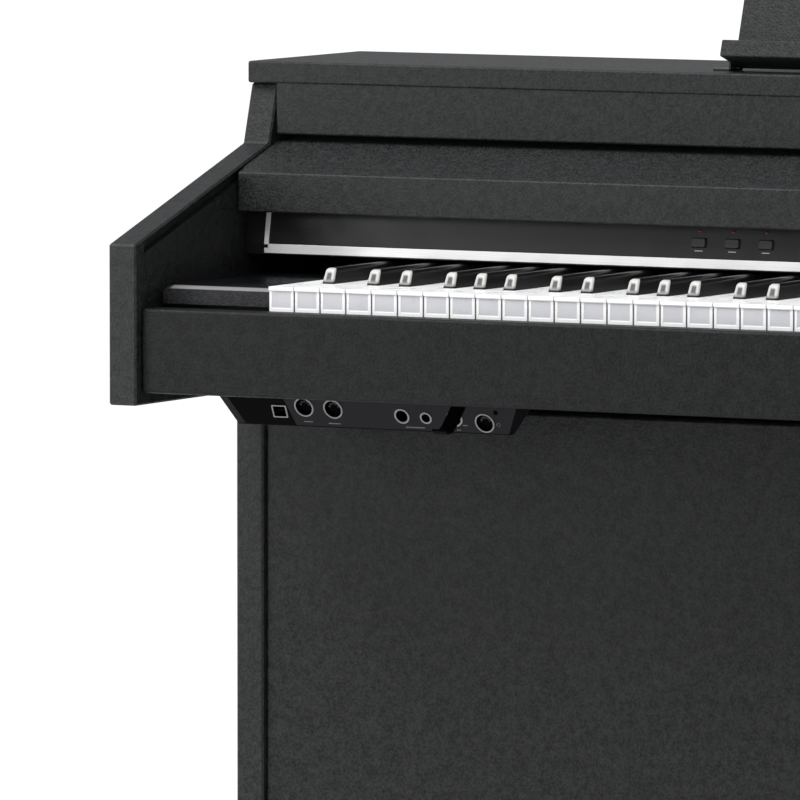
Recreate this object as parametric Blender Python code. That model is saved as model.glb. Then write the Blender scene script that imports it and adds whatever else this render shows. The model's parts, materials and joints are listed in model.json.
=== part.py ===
"""A home digital piano on its stand: cabinet, 88 keys, sliding key cover, music rest, pedals and jack panel.

Metres, +Z up, +Y towards the back, origin on the floor under the middle of the piano. The lowest fifteen
keys are objects of their own; the other keys are two comb-shaped sets, one white and one black.
"""

import math

import bmesh
import bpy
from mathutils import Matrix, Vector

# ---- driving dimensions ------------------------------------------------------------------------------------
FIT = 0.0003  # gap between pieces that touch
KEY_TOP = 0.740  # white key tops above the floor
KEY_PITCH = 0.0235  # width of one white key with its gap
KEY_GAP = 0.001
KEY_HEIGHT = 0.0205
KEY_VISIBLE = 0.150  # white key length in front of the control panel
KEY_PIVOT = 0.215  # from the white key fronts to the balance line
KEY_TAIL = 0.013  # length behind the balance line
BLACK_TAIL = 0.0115  # shorter, clear of the back that joins the white key set
KEY_SET_BACK = 0.010  # depth of the back that joins the white key set
BLACK_SETBACK = 0.050  # black key fronts behind the white ones
BLACK_WIDTH = 0.0108
BLACK_TOP_WIDTH = 0.0090
BLACK_RISE = 0.0125
BLACK_SLOPE = 0.006
BLACK_CLEARANCE = 0.001
BLACK_SHIFT = {1: -0.0027, 3: 0.0027, 6: -0.0036, 8: 0.0, 10: 0.0036}  # off the line between two white keys

DEPTH = 0.423
CHEEK_WIDTH = 0.1035  # from the last key to the side panel
SIDE_THICKNESS = 0.025
ARM_REACH = 0.033  # arm front ahead of the key fronts
ARM_BELOW = 0.098  # arm underside below the key tops
ARM_FRONT_RISE = 0.032
ARM_REAR_RISE = 0.103
LEG_SETBACK = 0.178
SHOULDER_SETBACK = 0.190  # where the arm's sloping top meets the upper case
SHOULDER_RUN = 0.015
CASE_RISE = 0.170  # top board's upper face above the key tops
TOP_THICKNESS = 0.018
TOP_SETBACK = 0.008  # top board's front edge behind the shoulder
FASCIA_THICKNESS = 0.012
FASCIA_CLEARANCE = 0.001

SLIP_REACH = 0.025
SLIP_CLEARANCE = 0.0025
SLIP_DROP = 0.0195  # slip's upper edge below the key tops
SLIP_HEIGHT = 0.0685
KEYBED_BELOW = 0.086
KEYBED_THICKNESS = 0.015
CHEEK_SETBACK = 0.006
CHEEK_GAP = 0.002
CHEEK_HEIGHT = 0.0164
CHEEK_CHAMFER = (0.012, 0.0035)
CHEEK_LIP = 0.015  # depth of the part that hangs in front of the keybed
CHEEK_CLEARANCE = 0.002  # from the block to the side panel and to the last key
BOARD_EDGE = 0.0015  # bevel on the case boards
SLIP_EDGE = 0.002

PANEL_BOTTOM = 0.0148  # control panel's lower edge above the key tops
PANEL_KNEE = 0.024
PANEL_TOP = 0.072
PANEL_LEAN = 0.008
PANEL_THICKNESS = 0.010
TRIM_INSET = 0.0179  # from the side panel to the trim's end
TRIM_HEIGHT = 0.0075
TRIM_LEG = 0.004
TRIM_THICKNESS = 0.0015

COVER_THICKNESS = 0.008
COVER_DEPTH = 0.200
COVER_TRAVEL = 0.171
COVER_BELOW_ARM = 0.003
COVER_STORED = 0.134  # lip's front face behind the key fronts
COVER_LIP = 0.012
COVER_LIP_BOTTOM = 0.050
GROOVE_DEPTH = 0.006
GROOVE_CLEARANCE = 0.0006

FRONT_BOARD_SETBACK = 0.183
FRONT_BOARD_DROP = 0.110
FRONT_BOARD_LIFT = 0.0622  # board's lower edge above the pedal rail
FRONT_BOARD_THICKNESS = 0.015
BACK_THICKNESS = 0.005
BACK_BELOW = 0.180  # back panel's lower edge below the key tops

FOOT_WIDTH = 0.045
FOOT_HEIGHT = 0.060
FOOT_NOSE = 0.018
FOOT_AHEAD = 0.010  # foot's front ahead of the key fronts
FOOT_EDGE = 0.002

JACK_FACE_TOP = 0.0835  # jack face's upper edge behind the key fronts
JACK_FACE_RUN = 0.0158
JACK_FACE_HEIGHT = 0.0344
JACK_WIDTH = 0.2854
JACK_TAPER = 0.0185  # how much each end draws in towards the lower edge
JACK_LEFT_GAP = 0.003
JACK_BOX_DEPTH = 0.037
JACK_BACK_RUN = 0.012  # how far the back comes forwards towards the lower edge
JACK_PLATE = 0.002
JACK_WALL = 0.0012

REST_WIDTH = 0.620
REST_HEIGHT = 0.150
REST_THICKNESS = 0.010
REST_LEAN = math.radians(18)
REST_SETBACK = 0.240
REST_PIVOT_RISE = 0.0078  # hinge line above the top board, so that the rest's lower edge clears it
REST_LEDGE = 0.028

PEDAL_SPACING = 0.070
PEDAL_WIDTH = 0.024
PEDAL_THICKNESS = 0.006
PEDAL_LENGTH = 0.150
PEDAL_HEIGHT = 0.090  # pedal's pivot above the floor
PEDAL_BOX_WIDTH = 0.280
PEDAL_BOX_DEPTH = 0.120
PEDAL_BOX_BOTTOM = 0.055
PEDAL_BOX_TOP = 0.135
PEDAL_PIVOT = 0.205  # pedals' pivot behind the key fronts
PEDAL_SLOT = 0.032
PEDAL_BOX_BEHIND = 0.020  # from the pivot to the box's back
PEDAL_RAIL_THICKNESS = 0.017
ADJUSTER_AHEAD = 0.045  # from the screw foot back to the pivot

BUTTON_WIDTH = 0.012
BUTTON_HEIGHT = 0.007
BUTTON_PROUD = 0.002
BUTTON_CLEARANCE = 0.0005
BUTTON_DEEP = 0.008  # how far buttons and the slider's neck reach into the panel
BUTTONS = {
    "power_button": 0.520,
    "panel_button_1": -0.300,
    "panel_button_2": -0.270,
    "panel_button_3": -0.240,
}
CONTROL_RISE = 0.036  # controls' centre line above the key tops
SLIDER_TRAVEL = 0.040
SLIDER_X = 0.400
SLIDER_SLOT = 0.0032
SLIDER_STEM = 0.0022
SLIDER_KNOB = (0.010, 0.014, 0.006)

SPEAKER_RADIUS = 0.055
SPEAKER_HOLE = 0.046
SPEAKER_X = 0.450
SPEAKER_SETBACK = 0.250
SPEAKER_DEEP = 0.050
GRILLE_THICKNESS = 0.003

SOCKETS = {  # distance from the jack box's upper left corner, distance down the face, hole radius
    "usb_socket": (0.0598, 0.0244, None),
    "midi_in_socket": (0.0831, 0.0197, 0.0070),
    "midi_out_socket": (0.1098, 0.0204, 0.0070),
    "line_out_right_socket": (0.1724, 0.0242, 0.0048),
    "line_out_left_socket": (0.1942, 0.0250, 0.0035),
    "headphone_socket": (0.2205, 0.0244, 0.0052),
    "pedal_socket": (0.2474, 0.0274, 0.0070),
}
SOCKET_RIM = 0.0018
SOCKET_PROUD = 0.0008
SOCKET_DEEP = 0.0095
SOCKET_BODY = 0.0016
SOCKET_FLOOR = 0.001
USB_SIZE = (0.0120, 0.0108)
USB_MOUTH = (0.0092, 0.0084)

HOOK_WIDTH = 0.0125
HOOK_ACROSS = 0.2310  # hook's middle from the jack box's upper left corner
HOOK_THICKNESS = 0.002

# ---- places worked out from them ---------------------------------------------------------------------------
OCTAVE_WHITES = (0, 2, 4, 5, 7, 9, 11)
FIRST_NOTE = 9  # the lowest key is an A, nine semitones above a C
NOTES = range(FIRST_NOTE, FIRST_NOTE + 88)
WHITES = [note for note in NOTES if note % 12 in OCTAVE_WHITES]
OWN_NOTES = 15  # the lowest keys, each an object of its own
KEYBOARD = len(WHITES) * KEY_PITCH
LEFT_KEY = -KEYBOARD / 2
INNER = KEYBOARD / 2 + CHEEK_WIDTH  # side panel's inner face
OUTER = INNER + SIDE_THICKNESS
FRONT = -DEPTH / 2
BACK = DEPTH / 2
KEY_FRONT = FRONT + ARM_REACH
CASE_TOP = KEY_TOP + CASE_RISE
KEYBED_TOP = KEY_TOP - KEYBED_BELOW + KEYBED_THICKNESS
ARM_SLOPE = math.atan2(ARM_REAR_RISE - ARM_FRONT_RISE, SHOULDER_SETBACK + ARM_REACH)
PANEL_ANGLE = math.atan2(PANEL_LEAN, PANEL_TOP - PANEL_KNEE)
PIVOT_Y = KEY_FRONT + KEY_PIVOT
PIVOT_Z = KEY_TOP - KEY_HEIGHT - 0.0002
JACK_ANGLE = math.atan2(JACK_FACE_RUN, JACK_FACE_HEIGHT)
JACK_TOP_Z = KEY_TOP - KEYBED_BELOW - FIT
JACK_BOTTOM_Z = JACK_TOP_Z - JACK_FACE_HEIGHT
JACK_LEFT = -INNER + JACK_LEFT_GAP
JACK_FACE_Y = KEY_FRONT + JACK_FACE_TOP
PANEL_Y = KEY_FRONT + KEY_VISIBLE
SPEAKER_FRONT = KEY_FRONT + SPEAKER_SETBACK
PEDAL_PIVOT_Y = KEY_FRONT + PEDAL_PIVOT
PEDALS = {"pedal_left": -PEDAL_SPACING, "pedal_middle": 0.0, "pedal_right": PEDAL_SPACING}
HOOK_X = JACK_LEFT + HOOK_ACROSS
NOTE_NAMES = ("c", "c_sharp", "d", "d_sharp", "e", "f", "f_sharp", "g", "g_sharp", "a", "a_sharp", "b")

BLACK = (0.022, 0.023, 0.024)
DARK_GREY = (0.042, 0.043, 0.046)
PANEL_BLACK = (0.02, 0.02, 0.022)
BUTTON_GREY = (0.11, 0.11, 0.115)
BRIGHT = (0.9, 0.9, 0.9)
FIBRE = (0.045, 0.040, 0.036)
IVORY = (0.84, 0.84, 0.83)
EBONY = (0.012, 0.012, 0.013)
STEEL = (0.25, 0.26, 0.27)
RED = (0.35, 0.03, 0.03)
GREEN = (0.03, 0.12, 0.06)
BRASS = (0.75, 0.62, 0.35)
SOCKET_GREY = (0.35, 0.35, 0.36)
JACK_BLACK = (0.024, 0.023, 0.028)
SATIN = 0.45


def arm_top(y):
    """Height of the arm's sloping upper edge at a depth."""
    return KEY_TOP + ARM_FRONT_RISE + (y - FRONT) * math.tan(ARM_SLOPE)


# ---- building tools ----------------------------------------------------------------------------------------
def clear_scene():
    for thing in list(bpy.data.objects):
        bpy.data.objects.remove(thing, do_unlink=True)


def material(name, colour, roughness, metallic=0.0):
    made = bpy.data.materials.new(name)
    made.use_nodes = True
    shader = made.node_tree.nodes["Principled BSDF"]
    shader.inputs["Base Color"].default_value = (*colour, 1.0)
    shader.inputs["Roughness"].default_value = roughness
    shader.inputs["Metallic"].default_value = metallic
    return made


def solid(name, bm, colour=BLACK, roughness=SATIN, metallic=0.0, origin=(0, 0, 0)):
    """An object from a bmesh in world coordinates, with its origin moved to a point such as a joint."""
    bmesh.ops.recalc_face_normals(bm, faces=bm.faces)
    bm.transform(Matrix.Translation(-Vector(origin)))
    mesh = bpy.data.meshes.new(name)
    bm.to_mesh(mesh)
    bm.free()
    made = bpy.data.objects.new(name, mesh)
    made.location = origin
    made.data.materials.append(material(name, colour, roughness, metallic))
    bpy.context.collection.objects.link(made)
    return made


def prism(outline, axis, low, high, bm=None):
    """A closed outline swept straight along an axis: "x" takes (y, z) points, "y" (x, z) and "z" (x, y)."""
    bm = bm or bmesh.new()
    place = {
        "x": lambda a, b, t: (t, a, b),
        "y": lambda a, b, t: (a, t, b),
        "z": lambda a, b, t: (a, b, t),
    }[axis]
    ends = [[bm.verts.new(place(a, b, t)) for a, b in outline] for t in (low, high)]
    bm.faces.new(ends[0])
    bm.faces.new(list(reversed(ends[1])))
    for i, point in enumerate(ends[0]):
        after = (i + 1) % len(outline)
        bm.faces.new((ends[0][after], point, ends[1][i], ends[1][after]))
    return bm


def block(x, y, z, bm=None):
    """A box from three (low, high) pairs."""
    return prism([(x[0], y[0]), (x[1], y[0]), (x[1], y[1]), (x[0], y[1])], "z", *z, bm=bm)


def round_outline(radius, sides, centre=(0, 0)):
    turn = 2 * math.pi / sides
    return [
        (centre[0] + radius * math.cos(i * turn), centre[1] + radius * math.sin(i * turn))
        for i in range(sides)
    ]


def turned(profile, sides, bm=None):
    """A closed (radius, height) profile turned about the Z axis; a radius of zero lies on the axis."""
    bm = bm or bmesh.new()
    rings = []
    for radius, height in profile:
        if radius == 0:
            rings.append([bm.verts.new((0, 0, height))] * sides)
        else:
            rings.append([bm.verts.new((x, y, height)) for x, y in round_outline(radius, sides)])
    for this, following in zip(rings, rings[1:]):
        for i in range(sides):
            j = (i + 1) % sides
            corners = [this[i], this[j], following[j], following[i]]
            bm.faces.new(list(dict.fromkeys(corners)))
    return bm


def smooth(thing, degrees=40):
    thing.data.shade_smooth()
    thing.data.set_sharp_from_angle(angle=math.radians(degrees))


def bevel(thing, width, segments=1):
    edge = thing.modifiers.new("Edges", "BEVEL")
    edge.width = width
    edge.segments = segments
    edge.limit_method = "ANGLE"
    edge.angle_limit = math.radians(40)


def combine(thing, bm, operation):
    """Cuts a second shape out of an object, or joins it on; the second shape is a hidden guide."""
    guide = solid(f"{thing.name}_{operation.lower()}_guide_{len(thing.modifiers)}", bm)
    guide.hide_render = True
    guide.display_type = "WIRE"
    step = thing.modifiers.new(operation.title(), "BOOLEAN")
    step.operation = operation
    step.solver = "EXACT"
    step.object = guide
    return guide


# ---- the cabinet -------------------------------------------------------------------------------------------
def groove_outline(clearance, start, end):
    """(y, z) outline of the sloping band that the key cover's edges fill, widened by a clearance."""
    drop = COVER_THICKNESS / math.cos(ARM_SLOPE)
    high = [(y, arm_top(y) - COVER_BELOW_ARM + clearance) for y in (start, end)]
    low = [(y, z - drop - 2 * clearance) for y, z in reversed(high)]
    return high + low


def side_panels():
    leg = KEY_FRONT + LEG_SETBACK
    under = KEY_TOP - ARM_BELOW
    shoulder = KEY_FRONT + SHOULDER_SETBACK
    case = CASE_TOP - TOP_THICKNESS - FIT
    outline = [
        (leg, FOOT_HEIGHT + FIT),
        (leg, under),
        (FRONT, under),
        (FRONT, arm_top(FRONT)),
        (shoulder, arm_top(shoulder)),
        (shoulder + SHOULDER_RUN, case),
        (BACK, case),
        (BACK, FOOT_HEIGHT + FIT),
    ]
    start = KEY_FRONT + COVER_STORED + COVER_LIP - COVER_TRAVEL * math.cos(ARM_SLOPE) - 0.002
    end = KEY_FRONT + COVER_STORED + COVER_DEPTH + 0.003
    for side, name in ((-1, "side_panel_left"), (1, "side_panel_right")):
        faces = sorted((side * INNER, side * OUTER))
        panel = solid(name, prism(outline, "x", *faces))
        bevel(panel, BOARD_EDGE)
        mouth = sorted((side * (INNER - 0.002), side * (INNER + GROOVE_DEPTH)))
        combine(panel, prism(groove_outline(GROOVE_CLEARANCE, start, end), "x", *mouth), "DIFFERENCE")


def feet():
    nose = KEY_FRONT - FOOT_AHEAD
    outline = [
        (nose, 0),
        (BACK, 0),
        (BACK, FOOT_HEIGHT),
        (nose + FOOT_NOSE * 2, FOOT_HEIGHT),
        (nose, FOOT_HEIGHT - FOOT_NOSE),
    ]
    middle = (INNER + OUTER) / 2
    for side, name in ((-1, "foot_left"), (1, "foot_right")):
        faces = sorted((side * (middle - FOOT_WIDTH / 2), side * (middle + FOOT_WIDTH / 2)))
        bevel(solid(name, prism(outline, "x", *faces)), FOOT_EDGE)


def speaker_places():
    return [(side * SPEAKER_X, SPEAKER_FRONT + SPEAKER_RADIUS) for side in (-1, 1)]


def keybed():
    z = (KEY_TOP - KEYBED_BELOW, KEYBED_TOP)
    y = (KEY_FRONT - SLIP_CLEARANCE + FIT, BACK - BACK_THICKNESS - 2 * FIT)
    board = solid("keybed", block((-INNER + FIT, INNER - FIT), y, z), FIBRE, 0.7)
    holes = bmesh.new()
    for place in speaker_places():
        prism(round_outline(SPEAKER_HOLE, 24, place), "z", z[0] - 0.01, z[1] + 0.01, bm=holes)
    combine(board, holes, "DIFFERENCE")


def key_slip():
    top = KEY_TOP - SLIP_DROP
    y = (KEY_FRONT - SLIP_REACH, KEY_FRONT - SLIP_CLEARANCE)
    slip = solid("key_slip", block((-INNER + FIT, INNER - FIT), y, (top - SLIP_HEIGHT, top)))
    bevel(slip, SLIP_EDGE, 2)


def cheek_blocks():
    bottom = KEY_TOP - SLIP_DROP + CHEEK_GAP
    top = bottom + CHEEK_HEIGHT
    front = KEY_FRONT + CHEEK_SETBACK
    back = KEY_FRONT + KEY_VISIBLE + PANEL_THICKNESS
    heel = front + CHEEK_LIP
    outline = [
        (front, bottom),
        (front, top - CHEEK_CHAMFER[1]),
        (front + CHEEK_CHAMFER[0], top),
        (back, top),
        (back, KEYBED_TOP + FIT),
        (heel, KEYBED_TOP + FIT),
        (heel, bottom),
    ]
    for side, name in ((-1, "cheek_block_left"), (1, "cheek_block_right")):
        faces = sorted((side * (INNER - CHEEK_CLEARANCE), side * (KEYBOARD / 2 + CHEEK_CLEARANCE)))
        solid(name, prism(outline, "x", *faces), DARK_GREY)


def top_board():
    """The flat top with its fascia, which hangs between the side panels above the key cover."""
    shoulder = KEY_FRONT + SHOULDER_SETBACK
    board = block((-OUTER, OUTER), (shoulder + TOP_SETBACK, BACK), (CASE_TOP - TOP_THICKNESS, CASE_TOP))
    top = solid("top_board", board)
    middle = shoulder + SHOULDER_RUN
    y = (middle - FASCIA_THICKNESS / 2, middle + FASCIA_THICKNESS / 2)
    half = INNER - FASCIA_CLEARANCE
    combine(top, block((-half, half), y, (arm_top(y[1]) + FIT, CASE_TOP - TOP_THICKNESS / 2)), "UNION")
    bevel(top, BOARD_EDGE)


def back_panel():
    y = (BACK - BACK_THICKNESS - FIT, BACK - FIT)
    z = (KEY_TOP - BACK_BELOW, CASE_TOP - TOP_THICKNESS - FIT)
    solid("back_panel", block((-INNER + FIT, INNER - FIT), y, z), FIBRE, 0.8)


def lower_front_board():
    """The board between the legs, from above the pedal rail to just below the keybed."""
    y = KEY_FRONT + FRONT_BOARD_SETBACK
    z = (PEDAL_BOX_TOP + FRONT_BOARD_LIFT, KEY_TOP - FRONT_BOARD_DROP)
    board = solid("lower_front_board", block((-INNER + FIT, INNER - FIT), (y, y + FRONT_BOARD_THICKNESS), z))
    bevel(board, BOARD_EDGE)


# ---- control panel -----------------------------------------------------------------------------------------
def panel_face(rise, out=0.0):
    """(y, z) of a point on the control panel's leaning face, moved out along the face's normal."""
    y = PANEL_Y + (rise - PANEL_KNEE) * math.tan(PANEL_ANGLE)
    return y - out * math.cos(PANEL_ANGLE), KEY_TOP + rise + out * math.sin(PANEL_ANGLE)


def leaning_block(x, rise, height, out, bm=None):
    """A box square to the control panel's face, from its x pair, middle height, size up the face and reach out."""
    tilt = Vector((0, math.sin(PANEL_ANGLE), math.cos(PANEL_ANGLE))) * height / 2
    outline = []
    for depth, sign in ((out[0], -1), (out[1], -1), (out[1], 1), (out[0], 1)):
        y, z = panel_face(rise, depth)
        outline.append((y + sign * tilt.y, z + sign * tilt.z))
    return prism(outline, "x", *x, bm=bm)


def control_panel():
    outline = [
        (PANEL_Y, KEY_TOP + PANEL_BOTTOM),
        (PANEL_Y, KEY_TOP + PANEL_KNEE),
        (PANEL_Y + PANEL_LEAN, KEY_TOP + PANEL_TOP),
        (PANEL_Y + PANEL_LEAN + PANEL_THICKNESS, KEY_TOP + PANEL_TOP),
        (PANEL_Y + PANEL_THICKNESS, KEY_TOP + PANEL_KNEE),
        (PANEL_Y + PANEL_THICKNESS, KEY_TOP + PANEL_BOTTOM),
    ]
    panel = solid("control_panel", prism(outline, "x", -INNER + FIT, INNER - FIT), PANEL_BLACK, 0.35)
    holes = bmesh.new()
    through = (-PANEL_THICKNESS * 1.6, 0.010)
    for x in BUTTONS.values():
        half = BUTTON_WIDTH / 2 + BUTTON_CLEARANCE
        height = BUTTON_HEIGHT + 2 * BUTTON_CLEARANCE
        leaning_block((x - half, x + half), CONTROL_RISE, height, through, bm=holes)
    slot = (SLIDER_X - SLIDER_STEM, SLIDER_X + SLIDER_TRAVEL + SLIDER_STEM)
    leaning_block(slot, CONTROL_RISE, SLIDER_SLOT, through, bm=holes)
    combine(panel, holes, "DIFFERENCE")


def panel_trim():
    """A bright strip along the panel's lower edge, with a short leg up the panel at each end."""
    end = INNER - TRIM_INSET
    y = (PANEL_Y - FIT - TRIM_THICKNESS, PANEL_Y - FIT)
    z = (KEY_TOP + PANEL_BOTTOM + 0.001, KEY_TOP + PANEL_BOTTOM + 0.001 + TRIM_HEIGHT)
    trim = solid("panel_trim", block((-end, end), y, z), BRIGHT, 0.3)
    legs = bmesh.new()
    foot = z[1] - 0.002
    head = KEY_TOP + PANEL_TOP - 0.004
    lean = (head - KEY_TOP - PANEL_KNEE) * math.tan(PANEL_ANGLE)
    knee = KEY_TOP + PANEL_KNEE
    outline = [
        (y[0], foot),
        (y[1], foot),
        (y[1], knee),
        (y[1] + lean, head),
        (y[0] + lean, head),
        (y[0], knee),
    ]
    for side in (-1, 1):
        prism(outline, "x", *sorted((side * end, side * (end - TRIM_LEG))), bm=legs)
    combine(trim, legs, "UNION")


def panel_controls():
    y, z = panel_face(CONTROL_RISE)
    for name, x in BUTTONS.items():
        half = BUTTON_WIDTH / 2
        body = leaning_block((x - half, x + half), CONTROL_RISE, BUTTON_HEIGHT, (-BUTTON_DEEP, BUTTON_PROUD))
        bevel(solid(name, body, BUTTON_GREY, 0.4, origin=(x, y, z)), 0.0005)
    width, height, depth = SLIDER_KNOB
    out = (BUTTON_CLEARANCE, BUTTON_CLEARANCE + depth)
    knob = leaning_block((SLIDER_X - width / 2, SLIDER_X + width / 2), CONTROL_RISE, height, out)
    slider = solid("volume_slider", knob, BUTTON_GREY, 0.4, origin=(SLIDER_X, y, z))
    stem = SLIDER_STEM - BUTTON_CLEARANCE
    thin = SLIDER_SLOT - 2 * BUTTON_CLEARANCE
    neck = leaning_block((SLIDER_X - stem, SLIDER_X + stem), CONTROL_RISE, thin, (-BUTTON_DEEP, BUTTON_PROUD))
    combine(slider, neck, "UNION")


# ---- sliding key cover and music rest ----------------------------------------------------------------------
def key_cover():
    """A flat board that runs in the side panels' grooves, with a lip across its front edge."""
    front = KEY_FRONT + COVER_STORED
    origin = (0, front, arm_top(front) - COVER_BELOW_ARM)
    board = groove_outline(0.0, front + COVER_LIP, front + COVER_DEPTH)
    reach = INNER + GROOVE_DEPTH - 0.001
    cover = solid("key_cover", prism(board, "x", -reach, reach), origin=origin)
    back = front + COVER_LIP + 0.004
    drop = COVER_THICKNESS / math.cos(ARM_SLOPE)
    lip = [
        (front, KEY_TOP + COVER_LIP_BOTTOM),
        (front, arm_top(front) - COVER_BELOW_ARM),
        (back, arm_top(back) - COVER_BELOW_ARM),
        (back, arm_top(back) - COVER_BELOW_ARM - drop),
        (back - 0.004, arm_top(back) - COVER_BELOW_ARM - drop - 0.003),
        (back - 0.004, KEY_TOP + COVER_LIP_BOTTOM),
    ]
    combine(cover, prism(lip, "x", -INNER + 0.001, INNER - 0.001), "UNION")
    return cover


def music_rest():
    """A board leaning back on its hinge at the top board, with a ledge for the pages."""
    pivot = Vector((0, KEY_FRONT + REST_SETBACK, CASE_TOP + REST_PIVOT_RISE))
    up = Vector((0, math.sin(REST_LEAN), math.cos(REST_LEAN)))
    out = Vector((0, -math.cos(REST_LEAN), math.sin(REST_LEAN)))

    def at(along, away):
        point = pivot + up * along + out * away
        return point.y, point.z

    half = REST_THICKNESS / 2
    outline = [
        at(-half, -half),
        at(-half, half + REST_LEDGE),
        at(half + 0.004, half + REST_LEDGE),
        at(half + 0.004, half + REST_LEDGE - 0.004),
        at(half, half + REST_LEDGE - 0.004),
        at(half, half),
        at(REST_HEIGHT, half),
        at(REST_HEIGHT, -half),
    ]
    rest = solid("music_rest", prism(outline, "x", -REST_WIDTH / 2, REST_WIDTH / 2), origin=pivot)
    bevel(rest, 0.001)


# ---- keys and their works ----------------------------------------------------------------------------------
def white_left(note):
    """Left edge of a white key's place."""
    return LEFT_KEY + WHITES.index(note) * KEY_PITCH


def black_middle(note):
    """Middle of a black key, from the white key below it."""
    return white_left(note - 1) + KEY_PITCH + BLACK_SHIFT[note % 12]


def white_outline(note, back):
    """(x, y) points from the back left corner, round the front, to the back right corner of a white key."""
    left = white_left(note) + KEY_GAP / 2
    right = left + KEY_PITCH - KEY_GAP
    notch = KEY_FRONT + BLACK_SETBACK - BLACK_CLEARANCE
    room = BLACK_WIDTH / 2 + BLACK_CLEARANCE
    points = []
    if note - 1 in NOTES and note - 1 not in WHITES:
        inner = black_middle(note - 1) + room
        points += [(inner, back), (inner, notch), (left, notch)]
    else:
        points += [(left, back)]
    points += [(left, KEY_FRONT), (right, KEY_FRONT)]
    if note + 1 in NOTES and note + 1 not in WHITES:
        inner = black_middle(note + 1) - room
        points += [(right, notch), (inner, notch), (inner, back)]
    else:
        points += [(right, back)]
    return points


def black_key(note, bm):
    """A key body with sloping sides and front above the white key tops."""
    middle = black_middle(note)
    front = KEY_FRONT + BLACK_SETBACK
    back = PIVOT_Y + BLACK_TAIL
    levels = (
        (KEY_TOP - KEY_HEIGHT, BLACK_WIDTH, front),
        (KEY_TOP - 0.001, BLACK_WIDTH, front),
        (KEY_TOP + BLACK_RISE, BLACK_TOP_WIDTH, front + BLACK_SLOPE),
    )
    rings = []
    for z, width, start in levels:
        x = (middle - width / 2, middle + width / 2)
        corners = ((x[0], start), (x[1], start), (x[1], back), (x[0], back))
        rings.append([bm.verts.new((*corner, z)) for corner in corners])
    bm.faces.new(list(reversed(rings[0])))
    bm.faces.new(rings[-1])
    for low, high in zip(rings, rings[1:]):
        for i in range(4):
            j = (i + 1) % 4
            bm.faces.new((low[i], low[j], high[j], high[i]))
    return bm


def keys():
    axis = (0, PIVOT_Y, PIVOT_Z)
    heights = (KEY_TOP - KEY_HEIGHT, KEY_TOP)
    own = NOTES[:OWN_NOTES]
    for note in own:
        name = f"key_{NOTE_NAMES[note % 12]}_{note // 12}"
        if note in WHITES:
            outline = white_outline(note, PIVOT_Y + KEY_TAIL)
            solid(name, prism(outline, "z", *heights), IVORY, 0.25, origin=axis)
        else:
            solid(name, black_key(note, bmesh.new()), EBONY, 0.2, origin=axis)
    rest = NOTES[OWN_NOTES:]
    back = PIVOT_Y + KEY_TAIL
    comb = []
    for note in rest:
        if note in WHITES:
            comb += white_outline(note, back)
    comb += [(comb[-1][0], back + KEY_SET_BACK), (comb[0][0], back + KEY_SET_BACK)]
    solid("white_keys_c2_to_c8", prism(comb, "z", *heights), IVORY, 0.25, origin=axis)
    blacks = bmesh.new()
    sharps = [note for note in rest if note not in WHITES]
    for note in sharps:
        black_key(note, blacks)
    black_set = solid("black_keys_c2_to_c8", blacks, EBONY, 0.2, origin=axis)
    inside = BLACK_WIDTH / 2 - 0.001
    x = (black_middle(sharps[0]) - inside, black_middle(sharps[-1]) + inside)
    y = (PIVOT_Y + 0.001, PIVOT_Y + BLACK_TAIL - 0.0005)
    rail = block(x, y, (KEY_TOP + 0.002, KEY_TOP + BLACK_RISE - 0.003))
    combine(black_set, rail, "UNION")


def key_works():
    """The chassis whose back ridge the keys rock on, the felt strip that stops them, and the contact board."""
    floor = KEYBED_TOP + FIT
    plate = floor + 0.010
    ridge = PIVOT_Z - 0.0002
    felt = (KEY_FRONT + 0.018, KEY_FRONT + 0.034)
    felt_top = KEY_TOP - KEY_HEIGHT - 0.009
    post = (KEY_FRONT + 0.080, KEY_FRONT + 0.100)
    post_top = KEY_TOP - KEY_HEIGHT - 0.016
    outline = [
        (KEY_FRONT + 0.004, floor),
        (KEY_FRONT + 0.004, plate),
        (felt[0], plate),
        (felt[0], felt_top - 0.005),
        (felt[1], felt_top - 0.005),
        (felt[1], plate),
        (post[0], plate),
        (post[0], post_top),
        (post[1], post_top),
        (post[1], plate),
        (PIVOT_Y - 0.010, plate),
        (PIVOT_Y - 0.010, ridge - 0.009),
        (PIVOT_Y - 0.0015, ridge),
        (PIVOT_Y + 0.0015, ridge),
        (PIVOT_Y + 0.010, ridge - 0.009),
        (PIVOT_Y + 0.010, plate),
        (PIVOT_Y + 0.016, plate),
        (PIVOT_Y + 0.016, floor),
    ]
    half = KEYBOARD / 2 - 0.001
    solid("key_chassis", prism(outline, "x", -half, half), STEEL, 0.5, 0.6)
    strip = block((-half + 0.002, half - 0.002), felt, (felt_top - 0.005 + FIT, felt_top))
    solid("key_felt", strip, RED, 0.95)
    y, z = (post[0] - 0.006, post[1] + 0.006), (post_top + FIT, post_top + 0.002)
    solid("contact_board", block((-half + 0.002, half - 0.002), y, z), GREEN, 0.5)


def main_board():
    """The circuit board behind the keys, on four standoffs, with its tall parts."""
    z = KEYBED_TOP + FIT
    x, y = (-0.150, 0.150), (KEY_FRONT + 0.258, KEY_FRONT + 0.358)
    board = solid("main_board", block(x, y, (z + 0.006, z + 0.0076)), GREEN, 0.5)
    extras = bmesh.new()
    for corner_x in x:
        for corner_y in y:
            cx = corner_x - math.copysign(0.006, corner_x)
            cy = corner_y + (0.006 if corner_y == y[0] else -0.006)
            block((cx - 0.003, cx + 0.003), (cy - 0.003, cy + 0.003), (z, z + 0.0065), bm=extras)
    block((-0.120, -0.070), (y[0] + 0.025, y[1] - 0.035), (z + 0.0070, z + 0.035), bm=extras)
    combine(board, extras, "UNION")


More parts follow.
